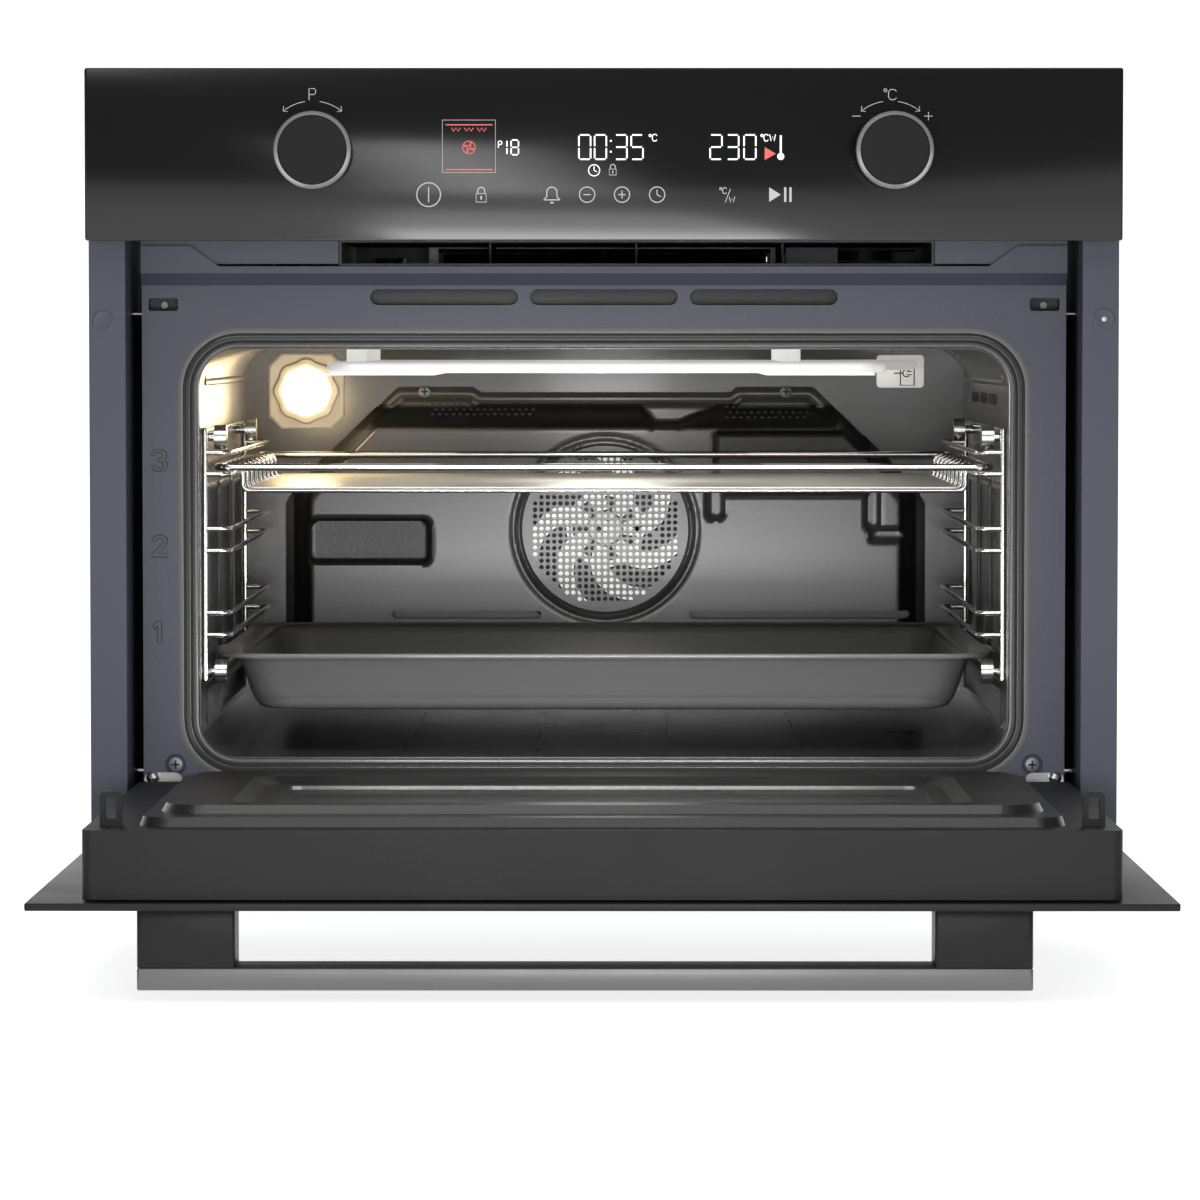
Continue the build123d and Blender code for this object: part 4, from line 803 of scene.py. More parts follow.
raised, shaded = [], []
for word, base in (("3", 218.6), ("2", 168.5), ("1", 118.4)):
    outline_points = [(-264.2 + x, base + z) for x, z in STROKES[word]]
    raised.append(ribbon([(x + 0.32, z - 0.32) for x, z in outline_points], 0.3, closed=True,
                         face=FRAME_FACE))
    shaded.append(ribbon(outline_points, 0.62, closed=True, face=FRAME_FACE))
# The dark strokes are a painted shadow beside each raised outline.
make("level_numbers", *join(*shaded), black_print_and_painted_shade, "carcass", sharp=20)
make("level_number_edges", *join(*raised), grey_enamel, "carcass", sharp=20)

# %% [markdown]
# ## Screws and hinge arms
# Cross-head screws hold the frame at its lower corners, and plastic caps cover the screws of the side
# flanges. One small screw is modelled and the repeat tree copies it.

# %% Cross-head screws
def cross_screw(radius):
    """A dished screw head with a raised rim, facing the front."""
    profile = [(0.05, 0.5), (radius * 0.75, 0.45), (radius * 0.95, 0.1), (radius, -0.6), (radius * 0.8, -1.1),
               (0.05, -1.3)]
    return turned(profile, ORIGIN, "Y", 20)


def cross_cut(radius):
    """The cross in the head, as a dark sunk figure: painted shade of the cross recess."""
    arms = []
    for u, v in ((radius * 0.62, radius * 0.14), (radius * 0.14, radius * 0.62)):
        arms.append(skin([[(-u, y, -v), (u, y, -v), (u, y, v), (-u, y, v)] for y in (-1.36, -1.2)]))
    return join(*arms)


corner_points = [(-250.7, 28.2, 47.0), (250.7, 28.2, 47.0)]
baffle_points = [(-119, 427.9, 261.2), (119, 427.9, 261.2)]
SCREW_RADIUS = 4.0
repeated("screw_heads", cross_screw(SCREW_RADIUS), corner_points + baffle_points, NO_TURN, motor_steel,
         "carcass", ["front_screws"])
# The dark crosses are painted shade standing for the recess in each head.
repeated("screw_crosses", cross_cut(SCREW_RADIUS), corner_points + baffle_points, NO_TURN, black_print_and_painted_shade,
         "carcass")
# The screw dimples get a darker blue than the frame: painted shade in the recess.
dimple = turned([(6.3, 0.8), (6.3, 0.0), (6.0, -0.45), (5.4, -0.5), (4.9, -0.1), (4.4, 0.3), (0.1, 0.35)],
                ORIGIN, "Y", 28)
DIMPLE_FACE = 29.0
repeated("screw_dimples", dimple, [(x, DIMPLE_FACE, z) for x, _, z in corner_points], NO_TURN, dimple_painted_shade,
         "carcass")
cap = turned([(6.3, 0.3), (6.25, -0.25), (5.7, -0.5), (5.2, -0.42), (0.1, -0.45)], ORIGIN, "Y", 32)
repeated("flange_caps", cap, [(-289.2, -0.9, 306.2), (288.9, -0.9, 307.3)], NO_TURN, grey_enamel, "carcass")
# A bright steel dot on the right cap only: a painted highlight.
highlight_dot = turned([(1.5, 0.2), (1.4, -0.25), (0.1, -0.3)], ORIGIN, "Y", 16)
repeated("cap_dot", highlight_dot, [(288.9, -1.2, 307.3)], NO_TURN, stainless, "carcass")

# %% Hinge arm ends
KNUCKLE_X = 264.2
knuckle = turned([(0.1, -3.6), (1.6, -3.3), (2.9, -2.2), (3.6, -0.8), (3.6, 0.8), (2.9, 2.2), (1.6, 3.3),
                  (0.1, 3.6)],
                 ORIGIN, "X", 24)
repeated("hinge_knuckles", knuckle, [(side * KNUCKLE_X, 25.6, 39.6) for side in (-1, 1)], NO_TURN,
         bright_steel, "carcass")
print("small parts made")

# %% [markdown]
# ## The lamp
# The lamp sits in an eight-sided pale plate at the back. Its glass cover has a scalloped rim that a hand
# can turn. The scallops are a wave on the radius of a turned dome, and the dome glows.

# %% Lamp plate and cover
LAMP_X, LAMP_Z = -196.9, 261.6
PLATE_HALF, PLATE_CUT = 25.0, 8.0
corners = [(-1, -1), (1, -1), (1, 1), (-1, 1)]


def octagon(inset, y):
    """A square plate with its corners cut off."""
    half, cut = PLATE_HALF - inset, PLATE_CUT
    points = []
    for sx, sz in corners:
        first, second = (half, half - cut), (half - cut, half)
        if sx * sz > 0:
            order = [first, second]
        else:
            order = [second, first]
        points += [(LAMP_X + sx * a, y, LAMP_Z + sz * b) for a, b in order]
    return points


plate = skin([octagon(0, 429.9), octagon(0, 428.6), octagon(0.8, 427.9), octagon(1.4, 427.8),
              octagon(2.2, 428.1)])
make("lamp_frame", *plate, lamp_enamel, "carcass", ["lamp_plate"], sharp=35)


def lobed(radius, y, wave=0.0, count=96):
    """A ring round the lamp's axis whose radius waves eight times."""
    ring = []
    for k in range(count):
        angle = math.tau * k / count
        r = radius + wave * math.cos(8 * angle)
        ring.append((LAMP_X + r * math.cos(angle), y, LAMP_Z + r * math.sin(angle)))
    return ring


rim = skin([lobed(20.4, 428.1, 0.8), lobed(20.6, 425.2, 0.8), lobed(19.8, 423.8, 0.7),
            lobed(17.8, 423.2, 0.5), lobed(16.6, 423.8, 0.4), lobed(16.2, 428.1, 0.4)], closed=True)
make("lamp_rim", *rim, lamp_rim_glass, "carcass", sharp=40)
dome = skin([lobed(16.1, 427.9, 0.3), lobed(16.1, 424.4, 0.3), lobed(14.4, 421.9, 0.1), lobed(10.5, 420.2),
             lobed(5.5, 419.6), lobed(0.6, 419.5)])
make("lamp_cover", *dome, lamp_glow, "carcass", ["lamp_glass"], sharp=50)

# %% [markdown]
# ## Probe socket sign
# Beside the heater is a small white plate with an outlined socket and its two-pin sign.

# %% Socket sign
low, high = measured("anchor_plate")
low, high = list(low), list(high)
socket = slab(low[0], high[0], low[1], high[1], low[2], high[2], radius=2.5, arris=0.5)
make("socket_plate", *socket, ceramic, "carcass", ["anchor_plate"], sharp=35)
face = low[1] - 0.02
sign = [ribbon([(194.4, 265.4), (203.4, 265.4), (203.4, 280.8), (194.4, 280.8)], 0.9, closed=True, face=face),
        ribbon(arc(198.4, 273.4, 2.4, 40, 320, 18), 0.8, face=face),
        ribbon([(198.4, 274.4), (202.2, 274.4)], 0.6, face=face),
        ribbon([(198.4, 272.4), (202.2, 272.4)], 0.6, face=face),
        ribbon([(190.0, 273.4), (196.0, 273.4)], 0.8, face=face)]
make("socket_sign", *join(*sign), black_print_and_painted_shade, "carcass", sharp=20)
print("lamp and socket made")

# %% [markdown]
# ## The fan cover
# The cover at the back is one pressed sheet: a flat face with sloping sides, a sunk pocket on the left, a
# sunk channel on the right and a round opening for the fan. Its depth follows a rule, so it is a height
# field on a fine grid. A signed distance says how far each point lies from an outline, and the edge points
# are moved onto the outline so that the rim stays smooth.

# %% Distance rules
BACK, FACE = 429.6, 402.2
FAN_Z, FAN_HOLE = 171.7, 56.2
COVER = [(-211, 62), (211, 62), (211, 188), (205, 198), (188, 216), (137, 264.5), (86, 264.5), (82, 261),
         (-82, 261), (-86, 264.5), (-137, 264.5), (-188, 216), (-205, 198), (-211, 188)]
PLATEAU = [(-192, 70), (192, 70), (192, 190), (180, 205), (150, 236.5), (-150, 236.5), (-180, 205),
           (-192, 190)]
DIP = [(20, 264), (33, 243), (47, 243), (92, 264)]


def polygon_distance(x, z, points):
    """Signed distance to a polygon: negative inside."""
    best, inside = 1e9, False
    for i, (x0, z0) in enumerate(points):
        x1, z1 = points[(i + 1) % len(points)]
        ex, ez = x1 - x0, z1 - z0
        t = max(0, min(1, ((x - x0) * ex + (z - z0) * ez) / (ex * ex + ez * ez)))
        best = min(best, math.hypot(x - x0 - t * ex, z - z0 - t * ez))
        if (z0 > z) != (z1 > z) and x < x0 + (z - z0) * ex / ez:
            inside = not inside
    return -best if inside else best


def box_distance(x, z, x0, x1, z0, z1, radius):
    """Signed distance to a rounded rectangle."""
    dx = abs(x - (x0 + x1) / 2) - (x1 - x0) / 2 + radius
    dz = abs(z - (z0 + z1) / 2) - (z1 - z0) / 2 + radius
    return math.hypot(max(dx, 0), max(dz, 0)) + min(max(dx, dz), 0) - radius


def ease(value, start, stop):
    """A smooth step from 0 to 1."""
    t = max(0, min(1, (value - start) / (stop - start)))
    return t * t * (3 - 2 * t)


def cover_depth(x, z):
    """Depth of the cover's front skin at a point of the front view."""
    rim = polygon_distance(x, z, COVER)
    top = polygon_distance(x, z, PLATEAU)
    y = BACK - 2.2 * ease(-rim, 0.5, 3.0)
    groove = 1.6 * (ease(-rim, 6.0, 7.5) - ease(-rim, 8.5, 10))
    y += groove
    rise = 1 - min(1, max(0, top) / 15.0)
    rise *= ease(polygon_distance(x, z, DIP), 0.0, 7.0)
    y -= (BACK - 2.2 - FACE) * ease(rise, 0.0, 1.0)
    pocket = box_distance(x, z, -196, -113, 147.6, 179.6, 7)
    y += 7 * ease(-pocket, 0.0, 3.2) * (1 if x > -192 else ease(rise, 0.6, 1.0))
    channel = min(box_distance(x, z, 70, 176, 193, 236, 5), box_distance(x, z, 65.5, 79, 176.5, 200, 6),
                  box_distance(x, z, 169.5, 181, 170, 236, 5),
                  box_distance(x, z, 172, 198, 162.5, 172.5, 4.5))
    y += 5.5 * ease(-channel, 0.0, 2.6) * ease(rise, 0.6, 1.0)
    from_fan = math.hypot(x, z - FAN_Z)
    y += 1.4 * (ease(from_fan, 62.5, 60.5) - ease(from_fan, 59.5, 57.6))
    return min(y, BACK - 0.2)


def cover_edge(x, z):
    """Negative where there is sheet: inside the outline, outside the fan opening and the two low slots."""
    slots = min(box_distance(x, z, -140, -42, 112.7, 118, 2.5), box_distance(x, z, 55, 200, 112.7, 118, 2.5))
    return max(polygon_distance(x, z, COVER), FAN_HOLE - math.hypot(x, z - FAN_Z), -slots)


# %% Cover mesh
STEP = 1.7
columns, rows = int(424 / STEP) + 1, int(206 / STEP) + 1
grid, keep = {}, {}
for i in range(columns + 1):
    for j in range(rows + 1):
        x, z = -212 + i * STEP, 61 + j * STEP
        keep[i, j] = cover_edge(x, z)
        grid[i, j] = (x, z)


def on_edge(x, z):
    """Moves a point just outside the sheet onto its edge, along the slope of the distance."""
    for _ in range(3):
        d = cover_edge(x, z)
        gx = (cover_edge(x + 0.05, z) - cover_edge(x - 0.05, z)) / 0.1
        gz = (cover_edge(x, z + 0.05) - cover_edge(x, z - 0.05)) / 0.1
        size = max(gx * gx + gz * gz, 0.3)
        x, z = x - d * gx / size, z - d * gz / size
    return x, z


index, front, faces = {}, [], []
for i in range(columns):
    for j in range(rows):
        corners_here = [(i, j), (i + 1, j), (i + 1, j + 1), (i, j + 1)]
        if min(keep[c] for c in corners_here) >= 0 or sum(keep[c] < 0 for c in corners_here) < 2:
            continue
        face = []
        for c in corners_here:
            if c not in index:
                x, z = grid[c] if keep[c] < 0 else on_edge(*grid[c])
                index[c] = len(front)
                front.append((x, cover_depth(x, z), z))
            face.append(index[c])
        faces.append(tuple(face))
count = len(front)
verts = front + [(x, y + 0.7, z) for x, y, z in front]
edges = {}
for face in faces:
    for a, b in zip(face, face[1:] + face[:1]):
        edges[a, b] = 1
walls = [(b, a, a + count, b + count) for a, b in edges if (b, a) not in edges]
faces = faces + [tuple(i + count for i in reversed(face)) for face in faces] + walls


def in_shade(face):
    """True for the upper slope, the sloping sides and the floors of the sunk parts, which get painted shade:
    a darker finish where the cover lies in shade.
    """
    x = sum(verts[i][0] for i in face) / len(face)
    z = sum(verts[i][2] for i in face) / len(face)
    slope = z > 236.5 and -17 < -polygon_distance(x, z, PLATEAU) < -0.5 and polygon_distance(x, z, DIP) > 2
    slope = slope and abs(x) < 172 - 0.9 * (z - 236.5)
    pocket = box_distance(x, z, -196, -113, 147.6, 179.6, 7) < -1.5
    recess = box_distance(x, z, 72, 175, 194, 240, 5) < -1
    sides = abs(x) > 192 and abs(x) < 205 and z < 200
    return slope or pocket or recess or sides


# The upper slope, the sloping sides and the sunk floors get painted shade.
bands = [1 if in_shade(face) else 0 for face in faces]
make("fan_cover", verts, faces, [cavity_enamel, cover_painted_shade], "carcass", ["cavity_baffle"], bands=bands,
     sharp=60, turn=False)
print("cover", len(faces), "faces")

# %% [markdown]
# ## Perforations and the fan grille
# Rows of small punched holes run along the cover's upper slope. They are made as dark sunk buttons, set
# by the repeat tree on points of the slope; their darkness is painted shade for the inside of the holes.
# The grille in front of the fan is truly punched, because the wheel, which glows with painted light, has
# to show through it. A punched grid is one boolean in the tree, whose slivers are merged and whose gaps
# are filled afterwards, so that the disc is closed.

# %% Rows of small holes
row_points = []
for start, count, pitch, zs in ((-113.5, 15, 4.55, (252.6, 249.1, 246.0)),
                                (80.0, 12, 4.6, (250.8, 247.1, 244.0))):
    for row, z in enumerate(zs):
        for k in range(count):
            x = start + pitch * (k + 0.5 * (row % 2))
            row_points.append((x, cover_depth(x, z) - 0.05, z))
# The dark buttons are painted shade for the inside of each hole.
button = turned([(0.05, 0.4), (1.25, 0.4), (1.25, 0.0), (1.0, -0.08), (0.05, -0.08)], ORIGIN, "Y", 12)
repeated("cover_perforations", button, row_points, NO_TURN, black_print_and_painted_shade, "carcass")
print("small holes", len(row_points))

# %% Fan grille
GRILLE_RADIUS, GRILLE_FRONT = 56.0, 403.2
HOLE_PITCH, HOLE_ROWS, FIELD_PITCHES = 4.17, 25, 11.8
disc_seed = bpy.data.meshes.new("seed_point")
disc_seed.from_pydata([(0, 0, 0)], [], [])
grille = grown("fan_grille_disc", disc_seed, punch_tree,
               {"Radius": GRILLE_RADIUS * MM, "Thickness": 0.8 * MM, "Pitch": HOLE_PITCH * MM,
                "Field radius": FIELD_PITCHES * HOLE_PITCH * MM, "Hole radius": 1.5 * MM,
                "Rows": HOLE_ROWS}, cavity_enamel, "carcass", ["fan_grille"])
WELD, SPECK = 4e-6, 1e-6  # metres; the boolean leaves slivers along the rims of the holes
work = bmesh.new()
work.from_mesh(grille.data)
bmesh.ops.remove_doubles(work, verts=work.verts, dist=WELD)
bmesh.ops.dissolve_degenerate(work, edges=work.edges, dist=SPECK)
bmesh.ops.holes_fill(work, edges=[e for e in work.edges if e.is_boundary], sides=0)
for vertex in work.verts:
    x, y, z = vertex.co
    vertex.co = (x, GRILLE_FRONT * MM + z, FAN_Z * MM - y)
work.to_mesh(grille.data)
work.free()


def fan_ring(radius, y, count):
    """A circle of points round the fan's axis."""
    return [(radius * math.cos(math.tau * k / count), y, FAN_Z + radius * math.sin(math.tau * k / count))
            for k in range(count)]


# A near-black ring round the grille: painted shade in the groove between grille and cover.
ring = [fan_ring(r, y, 96) for r, y in ((56.3, 402.3), (55.5, 402.1), (54.4, 402.5), (54.2, 403.4),
                                        (56.3, 403.4))]
make("grille_rim", *skin(ring, closed=True), black_print_and_painted_shade, "carcass", sharp=50)
print("grille holes", sum(1 for i in range(HOLE_ROWS) for j in range(HOLE_ROWS)
                           if math.hypot(i - HOLE_ROWS // 2, j - HOLE_ROWS // 2) <= FIELD_PITCHES))

# %% [markdown]
# ## The fan wheel
# Behind the grille turns a pale wheel with seven swept blades and a dished hub.

# %% Fan wheel
plate = turned([(0.1, 414.0), (26, 414.4), (56.0, 417.4), (56.6, 418.6), (56.0, 419.2), (10, 420.0),
                (4.5, 421), (4.5, 470), (0.1, 470)], (0, 0, FAN_Z), "Y", 64)
make("fan_wheel_plate", *plate, fan_plate, "fan_wheel", sharp=35)
hub_parts = [turned([(0.1, 407.6), (8.5, 407.6), (10, 408.6), (10.4, 414.2), (0.1, 414.2)], (0, 0, FAN_Z),
                    "Y", 48),
             skin([fan_ring(r, y, 64) for r, y in ((21.5, 412.4), (25.5, 412.4), (25.5, 414.8),
                                                   (21.5, 414.8))], closed=True)]
BLADES, BLADE_STEPS = 7, 8
BLADE_ROOT, BLADE_LENGTH, BLADE_SWEEP = 12, 43, 0.95
BLADE_FRONT, BLADE_BACK = 409.6, 416.5
for blade in range(BLADES):
    base = math.tau * blade / BLADES
    rings = []
    for k in range(BLADE_STEPS + 1):
        t = k / BLADE_STEPS
        radius = BLADE_ROOT + BLADE_LENGTH * t
        angle = base + BLADE_SWEEP * t * t
        half = 2.0 + 4.2 * math.sin(math.pi * min(1, 0.15 + t * 0.75))
        cx, cz = radius * math.cos(angle), radius * math.sin(angle)
        nx, nz = -math.sin(angle + 0.7 * t), math.cos(angle + 0.7 * t)
        x0, x1 = cx - nx * half, cx + nx * half
        z0, z1 = FAN_Z + cz - nz * half, FAN_Z + cz + nz * half
        rings.append([(x0, 408.4 + 1.0 * t, z0), (x1, BLADE_FRONT, z1), (x1, BLADE_BACK, z1),
                      (x0, BLADE_BACK, z0)])
    hub_parts.append(skin(rings))
# The blades glow: painted light.
make("fan_wheel_blades", *join(*hub_parts), fan_steel_painted_glow, "fan_wheel", ["fan_impeller"], sharp=35)
print("blades", BLADES)

# %% [markdown]
# ## Chamber walls
# Shallow pressed panels stiffen the side walls, and slots on the right let steam out. Each is a thin rounded
# plate seen from the side, with soft edges, laid on the wall; the slots are dark plates, painted shade for
# the open slots.

# %% Wall panels
WALL = 236.1


def wall_plate(side, proud, y0, y1, z0, z1, radius, wall=WALL):
    """A rounded plate on a side wall, standing proud of it."""
    rings = []
    for inset, off in ((0.0, 0.0), (0.3, proud * 0.5), (1.6, proud), (3.4, proud), (4.6, proud * 0.25)):
        points = outline(y0 + inset, y1 - inset, z0 + inset, z1 - inset, max(radius - inset, 0.2), 0)
        rings.append([(side * (wall - off), y, z) for y, _, z in points])
    return skin(rings)


PANEL_STARTS, PANEL_DEPTH = (66, 168, 270), 86
SLOT_STARTS, SLOT_DEPTH = (128, 206, 284), 60
LINE_ACROSS, LINE_FLOOR = (-118, -40, 40, 118), 51.0
panels = []
for side in (-1, 1):
    for y0 in PANEL_STARTS:
        panels.append(wall_plate(side, 1.6, y0, y0 + PANEL_DEPTH, 108, 210, 10))
    panels.append(wall_plate(side, 1.2, 66, 400, 64, 90, 9))
    panels.append(wall_plate(side, 1.2, 66, 400, 268, 284, 6))
make("wall_panels", *join(*panels), cavity_enamel, "carcass", sharp=50)
# The steam slots are dark plates: painted shade for open slots.
slots = [wall_plate(1, 0.5, y0, y0 + SLOT_DEPTH, 256, 262.5, 2.8) for y0 in SLOT_STARTS]
make("steam_slots", *join(*slots), black_print_and_painted_shade, "carcass", sharp=50)
floor_lines = []
for x in LINE_ACROSS:
    floor_lines.append(skin([outline(x - half, x + half, LINE_FLOOR, LINE_FLOOR + up, 0.02, y) for half, up,
                             y in
                             ((0.3, 0.15, 60), (0.5, 0.3, 70), (0.5, 0.3, 400), (0.3, 0.15, 410))]))
make("floor_lines", *join(*floor_lines), ring_band, "carcass", sharp=50)

# %% A dark plate behind the air slots: painted shade where the vents look into the dark case
vent_shade_plate = slab(-140, 140, 33.0, 34.2, 313.0, 329.0, radius=3, arris=0.3)
make("vent_felt", *vent_shade_plate, black_plastic, "carcass", sharp=40)
print("walls made")

# %% [markdown]
# ## The deep tray
# A drawn steel tray has soft corners, leaning walls and a flat lip with a rolled edge. A stack of plan
# outlines, up the inside and down the outside, gives it one closed skin with a real wall thickness.

# %% Tray
TRAY_RINGS = [  # half width, front, back, corner, height
    (196, 75, 371, 14, 76.3), (201, 70, 376, 18, 76.6), (205, 66, 380, 21, 78.2), (207, 64, 382, 22.5, 81),
    (208, 63, 383, 23, 85), (212.6, 58.6, 387.6, 24, 104), (213.6, 57.4, 388.6, 24.5, 106.6),
    (215.4, 55.6, 390.4, 25.5, 108.2), (218.5, 53, 393, 27, 108.8), (226, 49.5, 396.5, 30, 109.0),
    (228.2, 47.9, 398.1, 31, 110.0), (229.0, 47.2, 398.8, 31.3, 110.7), (229.5, 47, 399, 31.5, 110.3),
    (229.5, 47, 399, 31.5, 108.6), (228.8, 47.4, 398.6, 31.3, 107.7), (226, 49.5, 396.5, 30, 107.8),
    (218.5, 53, 393, 27, 107.6), (216.4, 55, 391.2, 26, 106.4), (215.5, 56, 390.2, 25.4, 104),
    (210.4, 61.6, 385, 23, 88), (208.6, 63.6, 383, 22, 83), (204.4, 67.8, 378.6, 20, 78.6),
    (198, 74.2, 372, 16, 76.1), (190, 82, 364, 10, 75.4)]
rings = [plan(-half, half, front, back, corner, z) for half, front, back, corner, z in TRAY_RINGS]
make("deep_tray_shell", *skin(rings), tray_enamel, "tray", ["deep_tray"], sharp=60)
print("tray rings", len(TRAY_RINGS))

# %% [markdown]
# ## Door glass and handle
# These are easiest to draw with the door shut, standing upright, and then turned down about the hinge by the
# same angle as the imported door. The glass is a slab with ground edges, the handle a flat bar with a fine
# chamfer on two blocks.

# %% Door pieces
PIVOT_Y, PIVOT_Z, OPEN_ANGLE = -13.0, 8.0, math.radians(89.53)
PANE_HALF, PANE_LOW, PANE_HIGH = 297.5, -4, 348
HANDLE_LEFT, HANDLE_RIGHT, POST_WIDTH = -241.5, 223.5, 51


def opened(shape):
    """Turns a shape drawn on the shut door down to the open door."""
    verts, faces = shape
    c, s = math.cos(OPEN_ANGLE), math.sin(OPEN_ANGLE)
    turned_verts = [(x, PIVOT_Y + c * (y - PIVOT_Y) - s * (z - PIVOT_Z),
                     PIVOT_Z + s * (y - PIVOT_Y) + c * (z - PIVOT_Z))
                    for x, y, z in verts]
    return turned_verts, faces


make("door_pane", *opened(slab(-PANE_HALF, PANE_HALF, -22, -18, PANE_LOW, PANE_HIGH, radius=1.6,
                               arris=0.7)), door_pane_glass, "door",
     ["door_glass"], sharp=30)
bar = slab(HANDLE_LEFT, HANDLE_RIGHT, -65.5, -53.9, 289.9, 326.2, radius=1.4, arris=0.9)
make("handle_grip", *opened(bar), handle_metal, "door", ["handle_bar"], sharp=30)
posts = [slab(x, x + POST_WIDTH, -53.8, -22.05, 294.2, 326.1, radius=2.2, arris=0.5)
         for x in (HANDLE_LEFT, HANDLE_RIGHT - POST_WIDTH)]
make("handle_blocks", *opened(join(*posts)), handle_black, "door", ["handle_posts"], sharp=30)
print("door pieces made")

# %% [markdown]
# ## The parts carried over from the model
# Pressed sheets, boards, motors and wires already have their right shape, so each keeps its mesh and gets
# the finish of the real thing: zinc on the casing, enamel in the chamber, plain steel near the heat.

# %% Finishes of the carried-over parts
CARRIED = {
    galvanised: ["outer_casing", "rear_panel", "base_pan", "compartment_plate", "hinge_brackets",
                 "blower_housing", "waveguide", "lamp_socket"],
    grey_enamel: ["front_frame", "side_flanges", "panel_bracket"],
    cavity_enamel: ["cavity_liner", "cavity_baffle", "fan_grille"],
    olive_band: ["opening_frame"],
    tray_enamel: ["deep_tray"],
    door_black: ["door_inner_panel"],
    door_matt: ["door_body", "hinge_blocks"],
    black_glass: ["panel_glass", "door_glass"],
    clear_glass: ["inner_glass", "middle_glass"],
    chrome_wire: ["side_racks", "wire_rack"],
    bright_steel: ["front_screws", "casing_screws", "rack_bushes", "hinge_springs"],
    stainless: ["hinge_covers", "microwave_screen", "ring_element"],
    heater_tube: ["grill_element", "element_brackets"],
    fan_steel_painted_glow: ["fan_impeller"],
    ceramic: ["anchor_plate", "lamp_plate"],
    pale_sheet: ["baking_sheet"],
    handle_metal: ["handle_bar"],
    handle_black: ["handle_posts", "latch_hooks"],
    knob_face: ["knob_left", "knob_right"],
    black_plastic: ["latch_blocks", "panel_housing", "air_outlet_duct", "encoders", "cable_gland",
                    "blower_rotor"],
    display_dark: ["display_module"],
    board_green: ["power_board", "touch_board", "inverter"],
    mineral_wool: ["insulation"],
    motor_steel: ["fan_motor", "blower_motor", "magnetron", "latch_plunger_left", "latch_plunger_right"],
}
given = set()
for material, names in CARRIED.items():
    for name in names:
        node = nodes[name]
        if not node.data.materials:
            node.data.materials.append(material)
        for index in range(len(node.data.materials)):
            node.data.materials[index] = material
        given.add(name)
print("carried over", len(given), "missing", sorted(set(nodes) - given))

# %% [markdown]
# ## Light
# A pale room on every side, soft lights above, in front and behind, and four nested cards whose reflection
# lies across the middle of the panel, strongest at its centre. A low card lights the door's edge, two small
# lights fill the mouth and the tray without being seen, and the oven's own lamp glows warm in the chamber.

# %% Floor and sweep
FLOOR_Z = -0.052
sweep = bpy.data.meshes.new("floor")
SWEEP_START, SWEEP_RADIUS, FLOOR_HALF = 7.0, 1.5, 14.0
SWEEP_STEPS, SWEEP_TOP = 12, 9.0
profile = [(-FLOOR_HALF, FLOOR_Z), (SWEEP_START, FLOOR_Z)]
for step in range(1, SWEEP_STEPS + 1):
    angle = math.radians(90 * step / SWEEP_STEPS)
    profile.append((SWEEP_START + SWEEP_RADIUS * math.sin(angle),
                    FLOOR_Z + SWEEP_RADIUS * (1 - math.cos(angle))))
profile.append((SWEEP_START + SWEEP_RADIUS, SWEEP_TOP))
verts = [(x, y, z) for y, z in profile for x in (-FLOOR_HALF, FLOOR_HALF)]
faces = [(2 * i, 2 * i + 1, 2 * i + 3, 2 * i + 2) for i in range(len(profile) - 1)]
sweep.from_pydata(verts, [], faces)
sweep.polygons.foreach_set("use_smooth", [True] * len(sweep.polygons))
floor = bpy.data.objects.new("floor", sweep)
scene.collection.objects.link(floor)
pale = bpy.data.materials.new("pale_floor")
pale.use_nodes = True
shader = pale.node_tree.nodes["Principled BSDF"]
shader.inputs["Base Color"].default_value = (0.86, 0.86, 0.86, 1)
shader.inputs["Roughness"].default_value = 0.9
shader.inputs["Emission Color"].default_value = (1, 1, 1, 1)
shader.inputs["Emission Strength"].default_value = 0.8
sweep.materials.append(pale)

# %% Lights
world = bpy.data.worlds.new("room")
world.use_nodes = True
world.node_tree.nodes["Background"].inputs["Color"].default_value = (0.95, 0.97, 1.0, 1)
world.node_tree.nodes["Background"].inputs["Strength"].default_value = 0.20
scene.world = world
scene.view_settings.view_transform = "Standard"


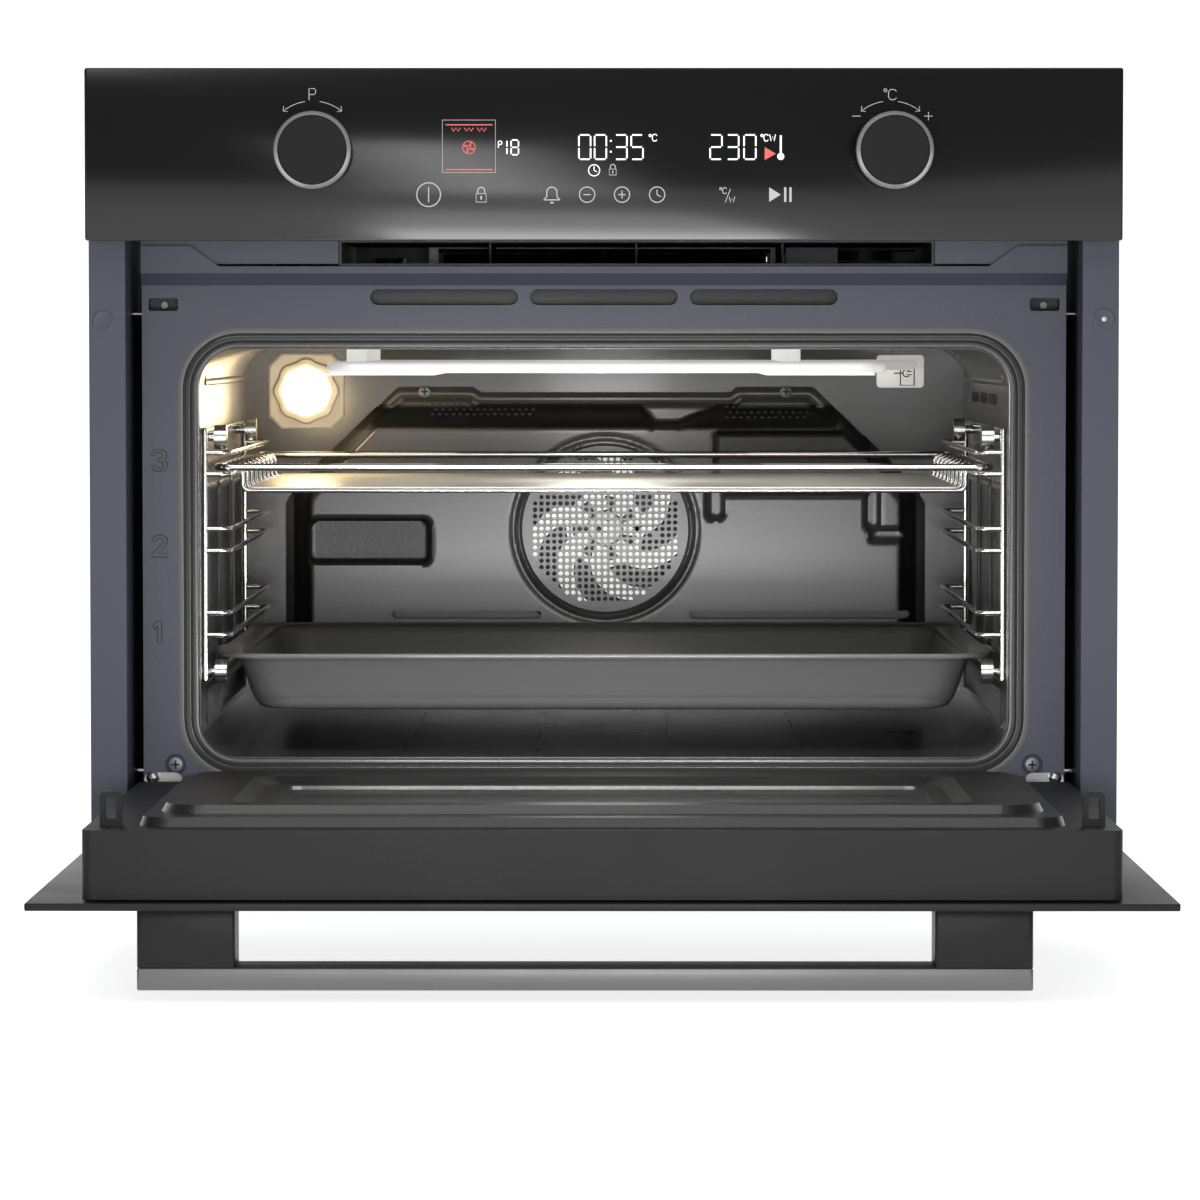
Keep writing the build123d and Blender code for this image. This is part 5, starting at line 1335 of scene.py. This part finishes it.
def soft_light(name, place, target, width, height, power, colour=(1, 1, 1)):
    """A rectangular soft light at a place, turned to a target."""
    data = bpy.data.lights.new(name, "AREA")
    data.shape = "RECTANGLE"
    data.size, data.size_y = width, height
    data.energy = power
    data.color = colour
    lamp = bpy.data.objects.new(name, data)
    lamp.location = place
    lamp.rotation_euler = (Vector(target) - Vector(place)).to_track_quat("-Z", "Y").to_euler()
    scene.collection.objects.link(lamp)
    return lamp


def glow(name, place, radius, power, colour):
    """A small warm light inside the chamber."""
    data = bpy.data.lights.new(name, "POINT")
    data.shadow_soft_size = radius
    data.energy = power
    data.color = colour
    lamp = bpy.data.objects.new(name, data)
    lamp.location = place
    scene.collection.objects.link(lamp)
    return lamp


CARD_WIDTHS, CARD_X, CARD_FRONT, CARD_GAP = (0.22, 0.46, 0.72, 1.0), -0.01, -3.4, 0.01
for card, width in enumerate(CARD_WIDTHS):
    soft_light(f"card_{card}", (CARD_X, CARD_FRONT - CARD_GAP * card, 0.56), (CARD_X, 0, 0.45), width, 0.8,
               3.0 * width)
soft_light("key_light", (-0.4, -1.9, 3.2), (0, 0, 0.2), 2.4, 1.2, 34)
soft_light("front_light", (0.0, -3.0, 2.3), (0, 0.2, 0.1), 2.8, 0.7, 19)
soft_light("low_card", (0.0, -2.2, FLOOR_Z + 0.006), (0, -2.2, 1.0), 0.86, 1.4, 10)
mouth_light = soft_light("mouth_light", (0.0, -0.85, 0.115), (0, 0.2, 0.10), 0.5, 0.09, 1.35)
mouth_light.visible_camera = False
tray_light = soft_light("tray_light", (0.0, -0.27, 0.078), (0, 0.06, 0.09), 0.30, 0.02, 0.9)
tray_light.visible_camera = False
soft_light("back_light", (0.3, 2.0, 2.4), (0, 0.3, 0.2), 1.6, 1.0, 12)
glow("chamber_lamp", (-0.192, 0.335, 0.255), 0.02, 0.24, (1.0, 0.74, 0.40))
glow("chamber_glow", (0.0, 0.20, 0.266), 0.04, 0.5, (1.0, 0.97, 0.92))
glow("chamber_fill", (0.0, 0.17, 0.160), 0.05, 0.16, (1.0, 0.99, 0.97))
